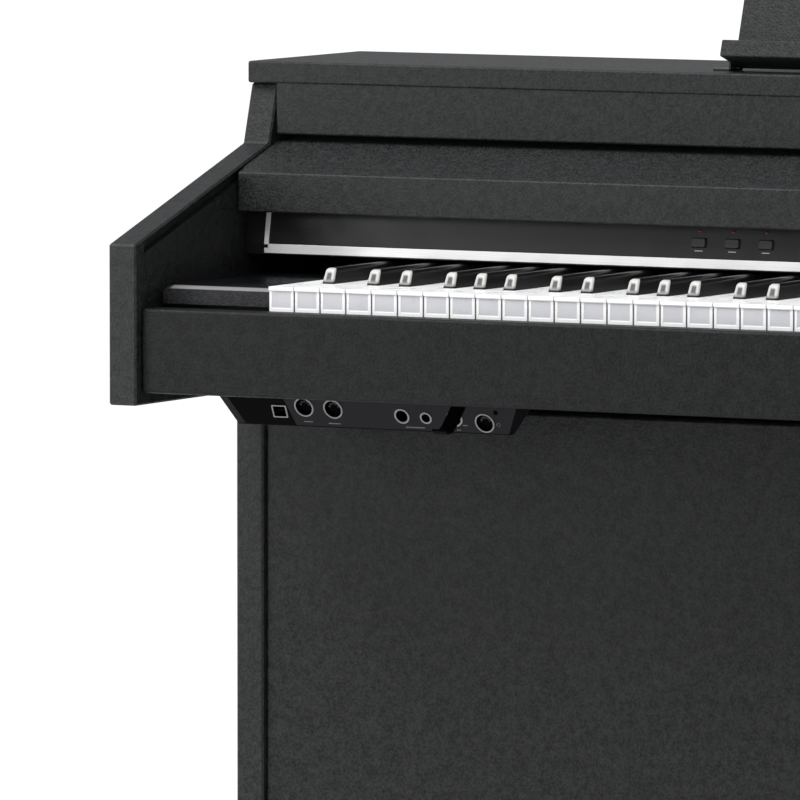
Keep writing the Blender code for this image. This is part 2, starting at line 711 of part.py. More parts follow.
# ---- speakers ----------------------------------------------------------------------------------------------
def speakers():
    profile = [
        (0, 0.030),
        (0.018, 0.030),
        (SPEAKER_HOLE - 0.004, 0.003),
        (SPEAKER_HOLE - 0.004, 0.0),
        (SPEAKER_RADIUS - 0.001, 0.0),
        (SPEAKER_RADIUS - 0.001, 0.003),
        (SPEAKER_HOLE, 0.006),
        (0.032, 0.033),
        (0.032, SPEAKER_DEEP),
        (0, SPEAKER_DEEP),
    ]
    cover = [
        (0, 0),
        (SPEAKER_RADIUS, 0),
        (SPEAKER_RADIUS, GRILLE_THICKNESS - 0.001),
        (SPEAKER_RADIUS - 0.001, GRILLE_THICKNESS),
        (0, GRILLE_THICKNESS),
    ]
    for (x, y), side in zip(speaker_places(), ("left", "right")):
        cone = turned(profile, 24)
        cone.transform(Matrix.Translation((x, y, KEYBED_TOP + FIT)))
        smooth(solid(f"speaker_{side}", cone, BLACK, 0.6))
        disc = turned(cover, 32)
        disc.transform(Matrix.Translation((x, y, KEY_TOP - KEYBED_BELOW - FIT - GRILLE_THICKNESS)))
        smooth(solid(f"speaker_grille_{side}", disc, BLACK, 0.5))


# ---- pedals ------------------------------------------------------------------------------------------------
def pedal_box():
    """A long rail between the legs with a box at its middle, slotted for the pedals."""
    rear = PEDAL_PIVOT_Y + PEDAL_BOX_BEHIND
    face = rear - PEDAL_BOX_DEPTH
    half = PEDAL_BOX_WIDTH / 2
    box = solid("pedal_box", block((-half, half), (face, rear), (PEDAL_BOX_BOTTOM, PEDAL_BOX_TOP)))
    y = (rear - PEDAL_RAIL_THICKNESS - 0.001, rear - 0.001)
    combine(box, block((-INNER + FIT, INNER - FIT), y, (FOOT_HEIGHT + 0.005, PEDAL_BOX_TOP - 0.002)), "UNION")
    slots = bmesh.new()
    height = (PEDAL_HEIGHT - PEDAL_SLOT * 0.75, PEDAL_HEIGHT + PEDAL_SLOT * 0.375)
    for x in PEDALS.values():
        wide = (x - PEDAL_SLOT / 2, x + PEDAL_SLOT / 2)
        block(wide, (face - 0.01, PEDAL_PIVOT_Y + PEDAL_SLOT / 4), height, bm=slots)
    combine(box, slots, "DIFFERENCE")


def pedals():
    """Flat pedals with a rounded, wider toe, rocking on their back end."""
    toe = PEDAL_WIDTH / 2
    neck = PEDAL_WIDTH * 0.34
    for name, x in PEDALS.items():
        tip = PEDAL_PIVOT_Y - PEDAL_LENGTH
        turns = [math.pi * i / 8 for i in range(9)]
        rounded = [(x - toe * math.cos(turn), tip + toe - toe * math.sin(turn)) for turn in turns]
        outline = rounded + [
            (x + toe, tip + 0.045),
            (x + neck, tip + 0.075),
            (x + neck, PEDAL_PIVOT_Y + 0.006),
            (x - neck, PEDAL_PIVOT_Y + 0.006),
            (x - neck, tip + 0.075),
            (x - toe, tip + 0.045),
        ]
        z = (PEDAL_HEIGHT - PEDAL_THICKNESS / 2, PEDAL_HEIGHT + PEDAL_THICKNESS / 2)
        origin = (x, PEDAL_PIVOT_Y, PEDAL_HEIGHT)
        pedal = solid(name, prism(outline, "z", *z), BRASS, 0.25, 1.0, origin=origin)
        bevel(pedal, 0.001)


def pedal_adjuster():
    """A screw foot that takes up the space between the pedal box and the floor."""
    profile = [
        (0, 0.001),
        (0.014, 0.001),
        (0.014, 0.008),
        (0.006, 0.012),
        (0.006, PEDAL_BOX_BOTTOM - FIT),
        (0, PEDAL_BOX_BOTTOM - FIT),
    ]
    screw = turned(profile, 16)
    place = (0, PEDAL_PIVOT_Y - ADJUSTER_AHEAD, 0)
    screw.transform(Matrix.Translation(place))
    smooth(solid("pedal_adjuster", screw, BLACK, 0.5, origin=place))


# ---- jack box ----------------------------------------------------------------------------------------------
def on_jack_face(bm, across, down):
    """Moves a shape, made about the origin with +Z as its way out, to its place on the tilted jack face."""
    out = Vector((0, -math.cos(JACK_ANGLE), -math.sin(JACK_ANGLE)))
    down_face = Vector((0, math.sin(JACK_ANGLE), -math.cos(JACK_ANGLE)))
    side = down_face.cross(out)
    place = Vector((JACK_LEFT + across, JACK_FACE_Y, JACK_TOP_Z)) + down_face * down
    turn = Matrix((side, down_face, out)).transposed().to_4x4()
    bm.transform(Matrix.Translation(place) @ turn)
    return bm


def rectangle(size):
    x, y = size[0] / 2, size[1] / 2
    return [(-x, -y), (x, -y), (x, y), (-x, y)]


def jack_trapezoid(drop, inset=0.0):
    """Half widths of the jack box at a drop below its upper edge."""
    shrink = JACK_TAPER * drop / JACK_FACE_HEIGHT
    return JACK_LEFT + shrink + inset, JACK_LEFT + JACK_WIDTH - shrink - inset


def tapered_block(front, depth, inset, z):
    """The jack box's shape: ends that draw in, a tilted face and a back that leans the other way."""
    bm = bmesh.new()
    rings = []
    for height in z:
        drop = JACK_TOP_Z - height
        left, right = jack_trapezoid(drop, inset)
        y = JACK_FACE_Y + front + drop * math.tan(JACK_ANGLE)
        back = JACK_FACE_Y + depth - JACK_BACK_RUN * drop / JACK_FACE_HEIGHT
        corners = ((left, y), (right, y), (right, back), (left, back))
        rings.append([bm.verts.new((*corner, height)) for corner in corners])
    bm.faces.new(rings[0])
    bm.faces.new(list(reversed(rings[1])))
    for i in range(4):
        j = (i + 1) % 4
        bm.faces.new((rings[0][j], rings[0][i], rings[1][i], rings[1][j]))
    return bm


def jack_box():
    """A shallow tapered tray under the keybed, open at the front where the jack panel closes it."""
    behind = JACK_PLATE / math.cos(JACK_ANGLE) + FIT
    outside = tapered_block(behind, JACK_BOX_DEPTH, 0.0, (JACK_TOP_Z, JACK_BOTTOM_Z))
    box = solid("jack_box", outside, roughness=0.5)
    z = (JACK_TOP_Z - JACK_WALL, JACK_BOTTOM_Z + JACK_WALL)
    combine(box, tapered_block(-0.010, JACK_BOX_DEPTH - JACK_WALL, JACK_WALL, z), "DIFFERENCE")


def jack_panel():
    """The tilted plate that carries the sockets."""
    bm = bmesh.new()
    rings = []
    for depth in (0.0, JACK_PLATE / math.cos(JACK_ANGLE)):
        ring = []
        for drop, end in ((0, 0), (0, 1), (JACK_FACE_HEIGHT, 1), (JACK_FACE_HEIGHT, 0)):
            x = jack_trapezoid(drop)[end]
            y = JACK_FACE_Y + depth + drop * math.tan(JACK_ANGLE)
            ring.append(bm.verts.new((x, y, JACK_TOP_Z - drop)))
        rings.append(ring)
    bm.faces.new(rings[0])
    bm.faces.new(list(reversed(rings[1])))
    for i in range(4):
        j = (i + 1) % 4
        bm.faces.new((rings[0][j], rings[0][i], rings[1][i], rings[1][j]))
    panel = solid("jack_panel", bm, JACK_BLACK, 0.4)
    holes = bmesh.new()
    for across, down, radius in SOCKETS.values():
        if radius is None:
            outline = rectangle([side + 2 * FIT for side in USB_SIZE])
        else:
            outline = round_outline(radius + SOCKET_BODY + FIT, 16)
        cutter = prism(outline, "z", -0.006, 0.006)
        on_jack_face(cutter, across, down)
        spare = bpy.data.meshes.new("hole")
        cutter.to_mesh(spare)
        cutter.free()
        holes.from_mesh(spare)
    combine(panel, holes, "DIFFERENCE")


def sockets():
    for name, (across, down, radius) in SOCKETS.items():
        if radius is None:
            outer = prism(rectangle(USB_SIZE), "z", -SOCKET_DEEP, SOCKET_PROUD)
            body = solid(name, on_jack_face(outer, across, down), SOCKET_GREY, 0.35, 0.8)
            mouth = prism(rectangle(USB_MOUTH), "z", SOCKET_FLOOR - SOCKET_DEEP, SOCKET_PROUD + 0.002)
            combine(body, on_jack_face(mouth, across, down), "DIFFERENCE")
            continue
        profile = [
            (0, -SOCKET_DEEP),
            (radius + SOCKET_BODY, -SOCKET_DEEP),
            (radius + SOCKET_BODY, SOCKET_PROUD - 0.0004),
            (radius + SOCKET_RIM, SOCKET_PROUD),
            (radius, SOCKET_PROUD),
            (radius, SOCKET_FLOOR - SOCKET_DEEP),
            (0, SOCKET_FLOOR - SOCKET_DEEP),
        ]
        smooth(solid(name, on_jack_face(turned(profile, 16), across, down), SOCKET_GREY, 0.4))


def headphone_hook():
    """A flat strip screwed under the keybed, bent down and forwards."""
    top = JACK_TOP_Z
    y = JACK_FACE_Y
    centre = [
        Vector((y - 0.022, top - HOOK_THICKNESS / 2)),
        Vector((y - 0.005, top - HOOK_THICKNESS / 2)),
        Vector((y - 0.0035, top - 0.004)),
        Vector((y - 0.0035, top - 0.012)),
        Vector((y - 0.0195, top - 0.0265)),
        Vector((y - 0.0255, top - 0.0300)),
        Vector((y - 0.0320, top - 0.0305)),
        Vector((y - 0.0365, top - 0.0280)),
    ]
    one, other = [], []
    for i, point in enumerate(centre):
        before = centre[max(i - 1, 0)]
        after = centre[min(i + 1, len(centre) - 1)]
        along = (after - before).normalized()
        away = Vector((-along.y, along.x)) * HOOK_THICKNESS / 2
        one.append(tuple(point + away))
        other.append(tuple(point - away))
    outline = one + list(reversed(other))
    solid("headphone_hook", prism(outline, "x", HOOK_X - HOOK_WIDTH / 2, HOOK_X + HOOK_WIDTH / 2), EBONY)


clear_scene()
side_panels()
feet()
keybed()
key_slip()
cheek_blocks()
top_board()
back_panel()
lower_front_board()
control_panel()
panel_trim()
panel_controls()
key_cover()
music_rest()
keys()
key_works()
main_board()
speakers()
pedal_box()
pedals()
pedal_adjuster()
jack_box()
jack_panel()
sockets()
headphone_hook()
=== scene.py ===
import json
import math

import bmesh
import bpy
import numpy as np
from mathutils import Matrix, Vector


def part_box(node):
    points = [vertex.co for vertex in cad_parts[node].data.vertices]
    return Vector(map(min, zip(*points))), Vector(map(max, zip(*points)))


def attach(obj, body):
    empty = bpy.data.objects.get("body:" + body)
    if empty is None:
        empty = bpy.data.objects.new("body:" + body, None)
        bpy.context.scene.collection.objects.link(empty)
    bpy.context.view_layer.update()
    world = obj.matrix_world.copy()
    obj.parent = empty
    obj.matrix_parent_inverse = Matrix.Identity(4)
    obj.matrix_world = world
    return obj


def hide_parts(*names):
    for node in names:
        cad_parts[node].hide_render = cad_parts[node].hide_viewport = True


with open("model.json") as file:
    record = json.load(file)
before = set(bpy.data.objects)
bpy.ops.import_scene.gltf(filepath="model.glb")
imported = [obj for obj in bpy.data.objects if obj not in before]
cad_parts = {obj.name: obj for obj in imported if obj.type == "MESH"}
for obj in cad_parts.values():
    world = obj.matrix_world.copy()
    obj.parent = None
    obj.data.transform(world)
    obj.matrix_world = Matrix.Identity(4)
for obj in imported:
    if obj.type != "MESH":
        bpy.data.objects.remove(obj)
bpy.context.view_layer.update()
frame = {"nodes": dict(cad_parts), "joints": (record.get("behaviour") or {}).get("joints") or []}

# ---- Room and camera ----
# A plain pale studio: a wide matt floor, a large soft light from above, a soft box near the left end, and an
# even pale sky.
# The camera stands far off to the right, low, and looks at the left end of the keyboard and the jack box.
first_key_low, first_key_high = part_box("key_a_0")
KEY_TOP = first_key_high.z
KEY_FRONT = first_key_low.y
first_corner = Vector((first_key_low.x, KEY_FRONT, KEY_TOP))


def into_scene(name, data):
    """A new object in the scene, for a mesh, a light or a camera."""
    made = bpy.data.objects.new(name, data)
    bpy.context.scene.collection.objects.link(made)
    return made


CAMERA_FROM_CORNER = Vector((4.3460, -7.8579, 0.6172))
TARGET_FROM_CORNER = Vector((0.0963, 0.0439, -0.0909))
LENS = 504.35
FILM_WIDTH = 36.0
FARTHEST = 200.0
camera_data = bpy.data.cameras.new("camera")
camera_data.lens = LENS
camera_data.sensor_width = FILM_WIDTH
camera_data.clip_end = FARTHEST
camera = into_scene("camera", camera_data)
camera.location = first_corner + CAMERA_FROM_CORNER
line_of_sight = TARGET_FROM_CORNER - CAMERA_FROM_CORNER
camera.rotation_euler = line_of_sight.to_track_quat("-Z", "Y").to_euler()
bpy.context.scene.camera = camera
bpy.context.scene.view_settings.view_transform = "Standard"


def shine(name, kind, strength, towards):
    """A light of a kind that shines from a direction."""
    data = bpy.data.lights.new(name, kind)
    data.energy = strength
    made = into_scene(name, data)
    made.rotation_euler = towards.to_track_quat("Z", "Y").to_euler()
    return made


LIGHT_HEIGHT = math.radians(60)
LIGHT_SIDE = math.radians(-28)
LIGHT_SPREAD = math.radians(45)
LIGHT_STRENGTH = 3.5
level = math.cos(LIGHT_HEIGHT)
towards_light = Vector((math.sin(LIGHT_SIDE) * level, -math.cos(LIGHT_SIDE) * level, math.sin(LIGHT_HEIGHT)))
light = shine("soft_light", "SUN", LIGHT_STRENGTH, towards_light)
light.data.angle = LIGHT_SPREAD

BOX_FROM_CORNER = Vector((-0.85, -0.85, 0.15))
BOX_SIZE = 0.5
BOX_STRENGTH = 3.5
soft_box = shine("soft_box", "AREA", BOX_STRENGTH, BOX_FROM_CORNER)
soft_box.data.shape = "SQUARE"
soft_box.data.size = BOX_SIZE
soft_box.location = first_corner + BOX_FROM_CORNER
soft_box.visible_camera = False

SKY_COLOUR = (0.97, 0.98, 1.0, 1.0)
SKY_STRENGTH = 0.48
sky = bpy.data.worlds.new("sky")
sky.use_nodes = True
sky.node_tree.nodes["Background"].inputs["Color"].default_value = SKY_COLOUR
sky.node_tree.nodes["Background"].inputs["Strength"].default_value = SKY_STRENGTH
bpy.context.scene.world = sky


class Field:
    """A node's output that Python's operators work on: numbers add Math nodes, vectors Vector Math nodes."""

    def __init__(self, finish, socket):
        self.finish = finish
        self.socket = socket

    def maths(self, operation, one, other):
        kind = "ShaderNodeMath" if self.socket.type == "VALUE" else "ShaderNodeVectorMath"
        return self.finish.node(kind, {"operation": operation}, {0: one, 1: other})

    def __add__(self, other):
        return self.maths("ADD", self, other)

    __radd__ = __add__

    def __mul__(self, other):
        return self.maths("MULTIPLY", self, other)

    __rmul__ = __mul__

    def __sub__(self, other):
        return self.maths("SUBTRACT", self, other)

    def __rsub__(self, other):
        return self.maths("SUBTRACT", other, self)

    def stretch(self, low, high, to_low=0.0, to_high=1.0):
        """The value's part between low and high, carried over to another range and held inside it."""
        sockets = {"Value": self, "From Min": low, "From Max": high, "To Min": to_low, "To Max": to_high}
        return self.finish.node("ShaderNodeMapRange", {"clamp": True}, sockets)


MIX_FACTOR, MIX_ONE, MIX_OTHER = 0, 6, 7  # a Mix node's sockets for colours
MIX_RESULT = 2


class Finish:
    """One material: the nodes that make it, and the Principled shader that they end in."""

    def __init__(self, name, **uniform):
        self.material = bpy.data.materials.new(name)
        self.material.use_nodes = True
        self.tree = self.material.node_tree
        self.shader = self.tree.nodes["Principled BSDF"]
        self.wear(**uniform)

    def join(self, socket, value):
        """A link if the value is a field, or else a plain value on the socket."""
        if isinstance(value, Field):
            self.tree.links.new(value.socket, socket)
        else:
            socket.default_value = value

    def node(self, kind, settings, sockets, output=0):
        """A node of a kind: its settings first, then the values or links of its sockets."""
        made = self.tree.nodes.new(kind)
        for setting, value in settings.items():
            setattr(made, setting, value)
        for socket, value in sockets.items():
            self.join(made.inputs[socket], value)
        return Field(self, made.outputs[output])

    def place(self, *scale):
        """Object coordinates in metres, stretched along the axes if a scale is given."""
        spot = self.node("ShaderNodeTexCoord", {}, {}, "Object")
        return spot * scale if scale else spot

    def noise(self, spot, scale, detail=2.0, roughness=0.5):
        sockets = {"Vector": spot, "Scale": scale, "Detail": detail, "Roughness": roughness}
        return self.node("ShaderNodeTexNoise", {}, sockets)

    def axes(self, spot):
        """The three coordinates of a place."""
        made = self.node("ShaderNodeSeparateXYZ", {}, {"Vector": spot}).socket.node
        return [Field(self, socket) for socket in made.outputs]

    def shade(self):
        """The shade that a piece's points carry, which sets the keys' painted shade and painted highlight."""
        return self.node("ShaderNodeAttribute", {"attribute_name": "shade"}, {}, "Fac")

    def mix(self, amount, one, other):
        """Colour one where the amount is 0, the other where it is 1. A number alone is a grey."""
        sockets = {MIX_FACTOR: amount}
        for socket, colour in ((MIX_ONE, one), (MIX_OTHER, other)):
            if isinstance(colour, float):
                colour = (colour, colour, colour)
            sockets[socket] = (*colour, 1.0) if isinstance(colour, tuple) else colour
        return self.node("ShaderNodeMix", {"data_type": "RGBA"}, sockets, MIX_RESULT)

    def bump(self, height, depth):
        """Relief of a depth in metres, where the height goes from 0 to 1."""
        self.wear(Normal=self.node("ShaderNodeBump", {}, {"Height": height, "Distance": depth}))

    def wear(self, **sockets):
        """Values or links for the shader's sockets, whose names are written with underscores."""
        for socket, value in sockets.items():
            self.join(self.shader.inputs[socket.replace("_", " ")], value)


def speckled(name, grain, dark, light, depth=0.0, detail=2.0, mottle=0.5, **uniform):
    """A finish that wanders from dark to light with one noise, which also lifts it by a depth."""
    finish = Finish(name, **uniform)
    specks = finish.noise(finish.place(), grain, detail, mottle)
    finish.wear(Base_Color=finish.mix(specks, dark, light))
    if depth:
        finish.bump(specks, depth)
    return finish


FLOOR_HALF = 90.0
floor_corners = np.array([(-1, -1, 0), (1, -1, 0), (1, 1, 0), (-1, 1, 0)]) * FLOOR_HALF
floor_mesh = bpy.data.meshes.new("floor")
floor_mesh.from_pydata(floor_corners.tolist(), [], [(0, 1, 2, 3)])
floor_mesh.materials.append(speckled("floor_paint", 1.5, 0.75, 0.77, Roughness=0.9).material)
floor = into_scene("floor", floor_mesh)


# ---- Side panels and feet ----
# Fibreboard ends, each a leg with an arm that reaches forward beside the keys, wrapped in black pebbled foil.
# Each stands on a board foot with a rounded nose; the panel's screws hide under push-in caps on the outside.
FOIL_DARK = (0.0030, 0.0034, 0.0036)
FOIL_LIGHT = (0.0270, 0.0282, 0.0286)


def pebbled(name, dark=FOIL_DARK, light=FOIL_LIGHT, depth=0.0006, gloss=0.28):
    """Foil with a leathery pebble over faint clouds; the grains' crowns carry a painted highlight and their
    hollows painted shade.
    """
    foil = Finish(name, Specular_IOR_Level=gloss)
    spot = foil.place()
    pebble = foil.noise(spot, 520.0, 2.5, 0.6)
    clouds = foil.noise(spot, 150.0, 3.0)
    crowns = pebble.stretch(0.40, 0.62)
    # The crowns' share of the colour is painted light: paler on the pebbles' crowns, darker in their hollows.
    # The clouds are the foil's own uneven tone.
    tone = crowns * 0.65 + clouds.stretch(0.34, 0.66) * 0.35
    foil.ground = foil.mix(tone, dark, light)
    foil.wear(Base_Color=foil.ground, Roughness=crowns.stretch(0.0, 1.0, 0.42, 0.6))
    foil.bump(pebble, depth)
    return foil


def at_height(flat, height):
    """Flat points, all raised to one height."""
    return np.column_stack([flat, np.full(len(flat), height)])


def loft(rings, looped=False):
    """Quads between rings of points: point j of ring i joins point j of ring i + 1. One face closes each end,
    or the last ring joins the first if the row of rings is a loop."""
    rings = np.asarray(rings, float)
    count, around = rings.shape[:2]
    i, j = np.meshgrid(np.arange(count if looped else count - 1), np.arange(around), indexing="ij")
    k = (j + 1) % around
    after = (i + 1) % count
    quads = np.stack([i * around + j, i * around + k, after * around + k, after * around + j], -1)
    faces = quads.reshape(-1, 4).tolist()
    if not looped:
        last = (count - 1) * around
        faces += [list(range(around))[::-1], list(range(last, last + around))]
    return rings.reshape(-1, 3), faces


AXIS_ORDER = {"x": (2, 0, 1), "z": (0, 1, 2)}


def board(outline, axis, low, high):
    """A flat outline carried straight along an axis: x takes (y, z) points and z takes (x, y)."""
    return loft([at_height(outline, at)[:, AXIS_ORDER[axis]] for at in (low, high)])


def box_shape(low, high):
    """A board whose outline is the rectangle between two corners."""
    rectangle = [(low[0], low[1]), (high[0], low[1]), (high[0], high[1]), (low[0], high[1])]
    return board(rectangle, "z", low[2], high[2])


def circle(radius, sides=24):
    """Points at equal turns round the origin."""
    turn = np.linspace(0, 2 * math.pi, sides, endpoint=False)
    return np.column_stack([np.cos(turn), np.sin(turn)]) * radius


def turned(profile, sides=24, looped=False):
    """A row of (radius, height) points turned about the Z axis: each point becomes a circle at its height."""
    return loft([at_height(circle(radius, sides), height) for radius, height in profile], looped)


def placed(shape, at, across=(1, 0, 0), up=(0, 1, 0), out=(0, 0, 1)):
    """A shape whose own x, y and z point along three directions, with its origin at a place."""
    points, faces = shape
    return points @ np.array([across, up, out], float) + np.array(at, float), faces


def facing_side(shape, at, sign):
    """A shape whose top faces along X, to the left or the right by the sign."""
    return placed(shape, at, (0, 1, 0), (0, 0, 1), (sign, 0, 0))


def piece(name, shapes, finish, nodes=(), body="cabinet", edge=0.0, steps=3, flat=35):
    """One mesh object from closed shells, with rounded edges if asked; it rides on its body and stands for
    nodes. A shell may carry a third array, its points' shade, which the material reads."""
    starts = np.cumsum([0] + [len(shape[0]) for shape in shapes])
    points = np.concatenate([shape[0] for shape in shapes])
    faces = [[start + i for i in face] for shape, start in zip(shapes, starts) for face in shape[1]]
    mesh = bpy.data.meshes.new(name)
    mesh.from_pydata(points.tolist(), [], faces)
    turning = bmesh.new()
    turning.from_mesh(mesh)
    bmesh.ops.recalc_face_normals(turning, faces=turning.faces)
    turning.to_mesh(mesh)
    turning.free()
    if any(len(shape) > 2 for shape in shapes):
        shades = [shape[2] if len(shape) > 2 else np.zeros(len(shape[0])) for shape in shapes]
        layer = mesh.attributes.new("shade", "FLOAT", "POINT")
        layer.data.foreach_set("value", np.concatenate(shades).astype(np.float32))
    mesh.materials.append(finish.material)
    mesh.shade_smooth()
    mesh.set_sharp_from_angle(angle=math.radians(flat))
    made = into_scene(name, mesh)
    if edge:
        rounding = made.modifiers.new("edges", "BEVEL")
        rounding.width = edge
        rounding.segments = steps
        rounding.limit_method = "ANGLE"
        rounding.angle_limit = math.radians(flat)
        rounding.harden_normals = True
    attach(made, body)
    if nodes:
        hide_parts(*nodes)
    return made


def dress(finish, *nodes):
    """Gives CAD nodes that keep their own shape a finish."""
    for name in nodes:
        for slot in frame["nodes"][name].material_slots:
            slot.material = finish.material


side_foil = pebbled("side_foil")
dress(side_foil, "side_panel_left", "side_panel_right")

FOOT_NOSE = 0.034
foot_foil = pebbled("foot_foil")
nose_arc = np.linspace(math.pi, math.pi / 2, 9)
for side in ("left", "right"):
    low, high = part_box(f"foot_{side}")
    nose_y = low.y + FOOT_NOSE + FOOT_NOSE * np.cos(nose_arc)
    nose_z = high.z - FOOT_NOSE + FOOT_NOSE * np.sin(nose_arc)
    foot_outline = [(low.y, low.z), *zip(nose_y, nose_z), (high.y, high.z), (high.y, low.z)]
    foot = board(foot_outline, "x", low.x, high.x)
    piece(f"rounded_foot_{side}", [foot], foot_foil, [f"foot_{side}"], edge=0.002)

cap_plastic = speckled("cap_plastic", 1800.0, (0.012, 0.012, 0.013), (0.020, 0.020, 0.021), 0.00005,
    Specular_IOR_Level=0.4, Roughness=0.5)
CAP_PROFILE = ((0.0065, -0.0006), (0.0065, 0.0003), (0.0058, 0.0007), (0.0030, 0.0008), (0.0004, 0.0008))
CAP_INSET = 0.030
CAP_BELOW_KEYS = 0.078  # where the arm is screwed to the keybed
for side, sign in (("left", -1), ("right", 1)):
    low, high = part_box(f"side_panel_{side}")
    face_x = low.x if sign < 0 else high.x
    cap_places = (
        (high.y - 0.060, high.z - 0.040),
        (high.y - 0.100, KEY_TOP - CAP_BELOW_KEYS),
        (high.y - CAP_INSET, 0.110),
        (KEY_FRONT + CAP_INSET, KEY_TOP - CAP_BELOW_KEYS),
        (high.y - CAP_INSET, KEY_TOP - 0.160),
    )
    caps = [facing_side(turned(CAP_PROFILE), (face_x, y, z), sign) for y, z in cap_places]
    piece(f"screw_caps_{side}", caps, cap_plastic)


# ---- Keybed and its screws ----
# The shelf under the keys: raw fibreboard stained dark, with the speaker holes cut through it.
# Pan-head screws come up through it into the chassis and the slip.
def raw_board(name):
    """Pressed wood fibres: short pale flecks drawn out along the board over a dark brown ground."""
    fibre = Finish(name, Specular_IOR_Level=0.2, Roughness=0.85)
    flecks = fibre.noise(fibre.place(260.0, 900.0, 900.0), 1.0, 4.0, 0.7)
    clouds = fibre.noise(fibre.place(), 12.0)
    tone = flecks.stretch(0.35, 0.75) * 0.7 + clouds * 0.3
    fibre.wear(Base_Color=fibre.mix(tone, (0.012, 0.010, 0.009), (0.060, 0.048, 0.038)))
    fibre.bump(flecks, 0.0002)
    return fibre


keybed_fibre = raw_board("keybed_fibre")
dress(keybed_fibre, "keybed")
screw_steel = speckled("screw_steel", 3000.0, (0.05, 0.05, 0.052), (0.16, 0.16, 0.165),
    Metallic=1.0, Roughness=0.45)


def screw(at, out, radius=0.0032):
    """A pan head turned from its profile, whose middle sinks into a round recess."""
    out = np.array(out, float)
    across = np.cross(out, (0.3, 0.5, 0.8))
    across /= np.linalg.norm(across)
    up = np.cross(out, across)
    height = radius * 0.55
    head = [(radius, 0), (radius, height * 0.45), (radius * 0.82, height * 0.85), (radius * 0.52, height)]
    head += [(radius * 0.44, height * 0.5), (radius * 0.05, height * 0.3)]
    return placed(turned(head, 16), at, across, up, out)


SCREW_ROWS = (KEY_FRONT + 0.06, KEY_FRONT + 0.16)
keybed_low, keybed_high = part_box("keybed")
screw_columns = np.linspace(keybed_low.x + 0.36, keybed_high.x - 0.05, 7)
under = [screw((x, y, keybed_low.z - 0.0001), (0, 0, -1)) for x in screw_columns for y in SCREW_ROWS]
piece("keybed_screws", under, screw_steel)


# ---- Key slip ----
# The long rail in front of the keys, the same pebbled black foil, with softly rounded edges all round.
# It closes the front of the keybed between the two arms.
# The slip's foil is a darker copy of the shared black foil: its extra darkness is painted shade.
slip_foil = pebbled("slip_foil", (0.0004, 0.0006, 0.0005), (0.0125, 0.0135, 0.0132), gloss=0.2)
slip = box_shape(*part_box("key_slip"))
piece("rounded_key_slip", [slip], slip_foil, ["key_slip"], edge=0.0028)


# ---- Cheek blocks ----
# Blocks that fill the ends between the keys and the arms, a little proud of the slip's ledge. Their satin
# foil is smoother on top with a painted dark reflection there, and a painted highlight along the sloping
# front edge.
cheek_foil = pebbled("cheek_foil", (0.0080, 0.0083, 0.0092), (0.0290, 0.0298, 0.0320), depth=0.0004)
CHEEK_HEIGHT = 0.0164
CHEEK_LIP = 0.015
SLOPE_DEPTH = 0.012
SLOPE_DROP = 0.0035
CHEEK_END = (0.0, 0.0006, 0.0020, 0.0045, 0.0080)  # distances from the outer end at which it is cut lower
CHEEK_CUT = (0.0032, 0.0021, 0.0010, 0.0003, 0.0)
# A painted dark reflection for the top, and a painted highlight for the sloping front edge.
TOP_PAINTED_SHADE = (0.0035, 0.0042, 0.0055)
SLOPE_PAINTED_HIGHLIGHT = (0.30, 0.29, 0.295)
low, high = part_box("cheek_block_left")
cheek_x, cheek_y, cheek_z = cheek_foil.axes(cheek_foil.place())
behind = cheek_y.stretch(low.y + 0.0060, low.y + 0.0080)
above = cheek_z.stretch(high.z - SLOPE_DROP - 0.0006, high.z - SLOPE_DROP + 0.0002)
inner_end = (cheek_x * cheek_x).stretch((low.x + 0.0065) ** 2, (low.x + 0.0090) ** 2)
on_slope = above * (1.0 - behind) * inner_end
on_top = above * behind
# on_top lays the painted dark reflection on the top; on_slope lays the painted highlight on the sloping edge.
cheek_colour = cheek_foil.mix(on_top, cheek_foil.ground, TOP_PAINTED_SHADE)
cheek_foil.wear(Base_Color=cheek_foil.mix(on_slope * 0.75, cheek_colour, SLOPE_PAINTED_HIGHLIGHT))
cheek_foil.wear(Roughness=0.55 - on_top * 0.35)
for side in ("left", "right"):
    name = f"cheek_block_{side}"
    low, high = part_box(name)
    bottom = high.z - CHEEK_HEIGHT
    heel = low.y + CHEEK_LIP
    rings = []
    for away, cut in zip(CHEEK_END, CHEEK_CUT):
        x = low.x + away if side == "left" else high.x - away
        face = low.y + cut * 0.5
        ring = [(face, bottom), (face, high.z - SLOPE_DROP - cut), (low.y + SLOPE_DEPTH, high.z - cut)]
        ring += [(high.y, high.z - cut), (high.y, low.z), (heel, low.z), (heel, bottom)]
        rings.append([(x, *point) for point in ring])
    x = high.x if side == "left" else low.x
    rings.append([(x, *point[1:]) for point in rings[-1]])
    piece(f"rounded_{name}", [loft(rings)], cheek_foil, [name], edge=0.0008, flat=20)


# ---- Top board and back ----
# The flat top overhangs the panels and carries a fascia that hangs above the key cover, in the same foil.
# The back is thin fibreboard, screwed round its edge.
FASCIA_BACK = 0.205
FASCIA_HALF = 0.006
BOARD_GAP = 0.001
top_foil = pebbled("top_foil")
low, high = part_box("top_board")
side_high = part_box("side_panel_left")[1]
top_under = side_high.z + 0.0003
fascia_y = KEY_FRONT + FASCIA_BACK
fascia_low = (side_high.x + BOARD_GAP, fascia_y - FASCIA_HALF, low.z)
fascia_high = (-side_high.x - BOARD_GAP, fascia_y + FASCIA_HALF, top_under + 0.004)
top_shapes = [box_shape((low.x, low.y, top_under), high), box_shape(fascia_low, fascia_high)]
piece("rounded_top", top_shapes, top_foil, ["top_board"], edge=0.0020)

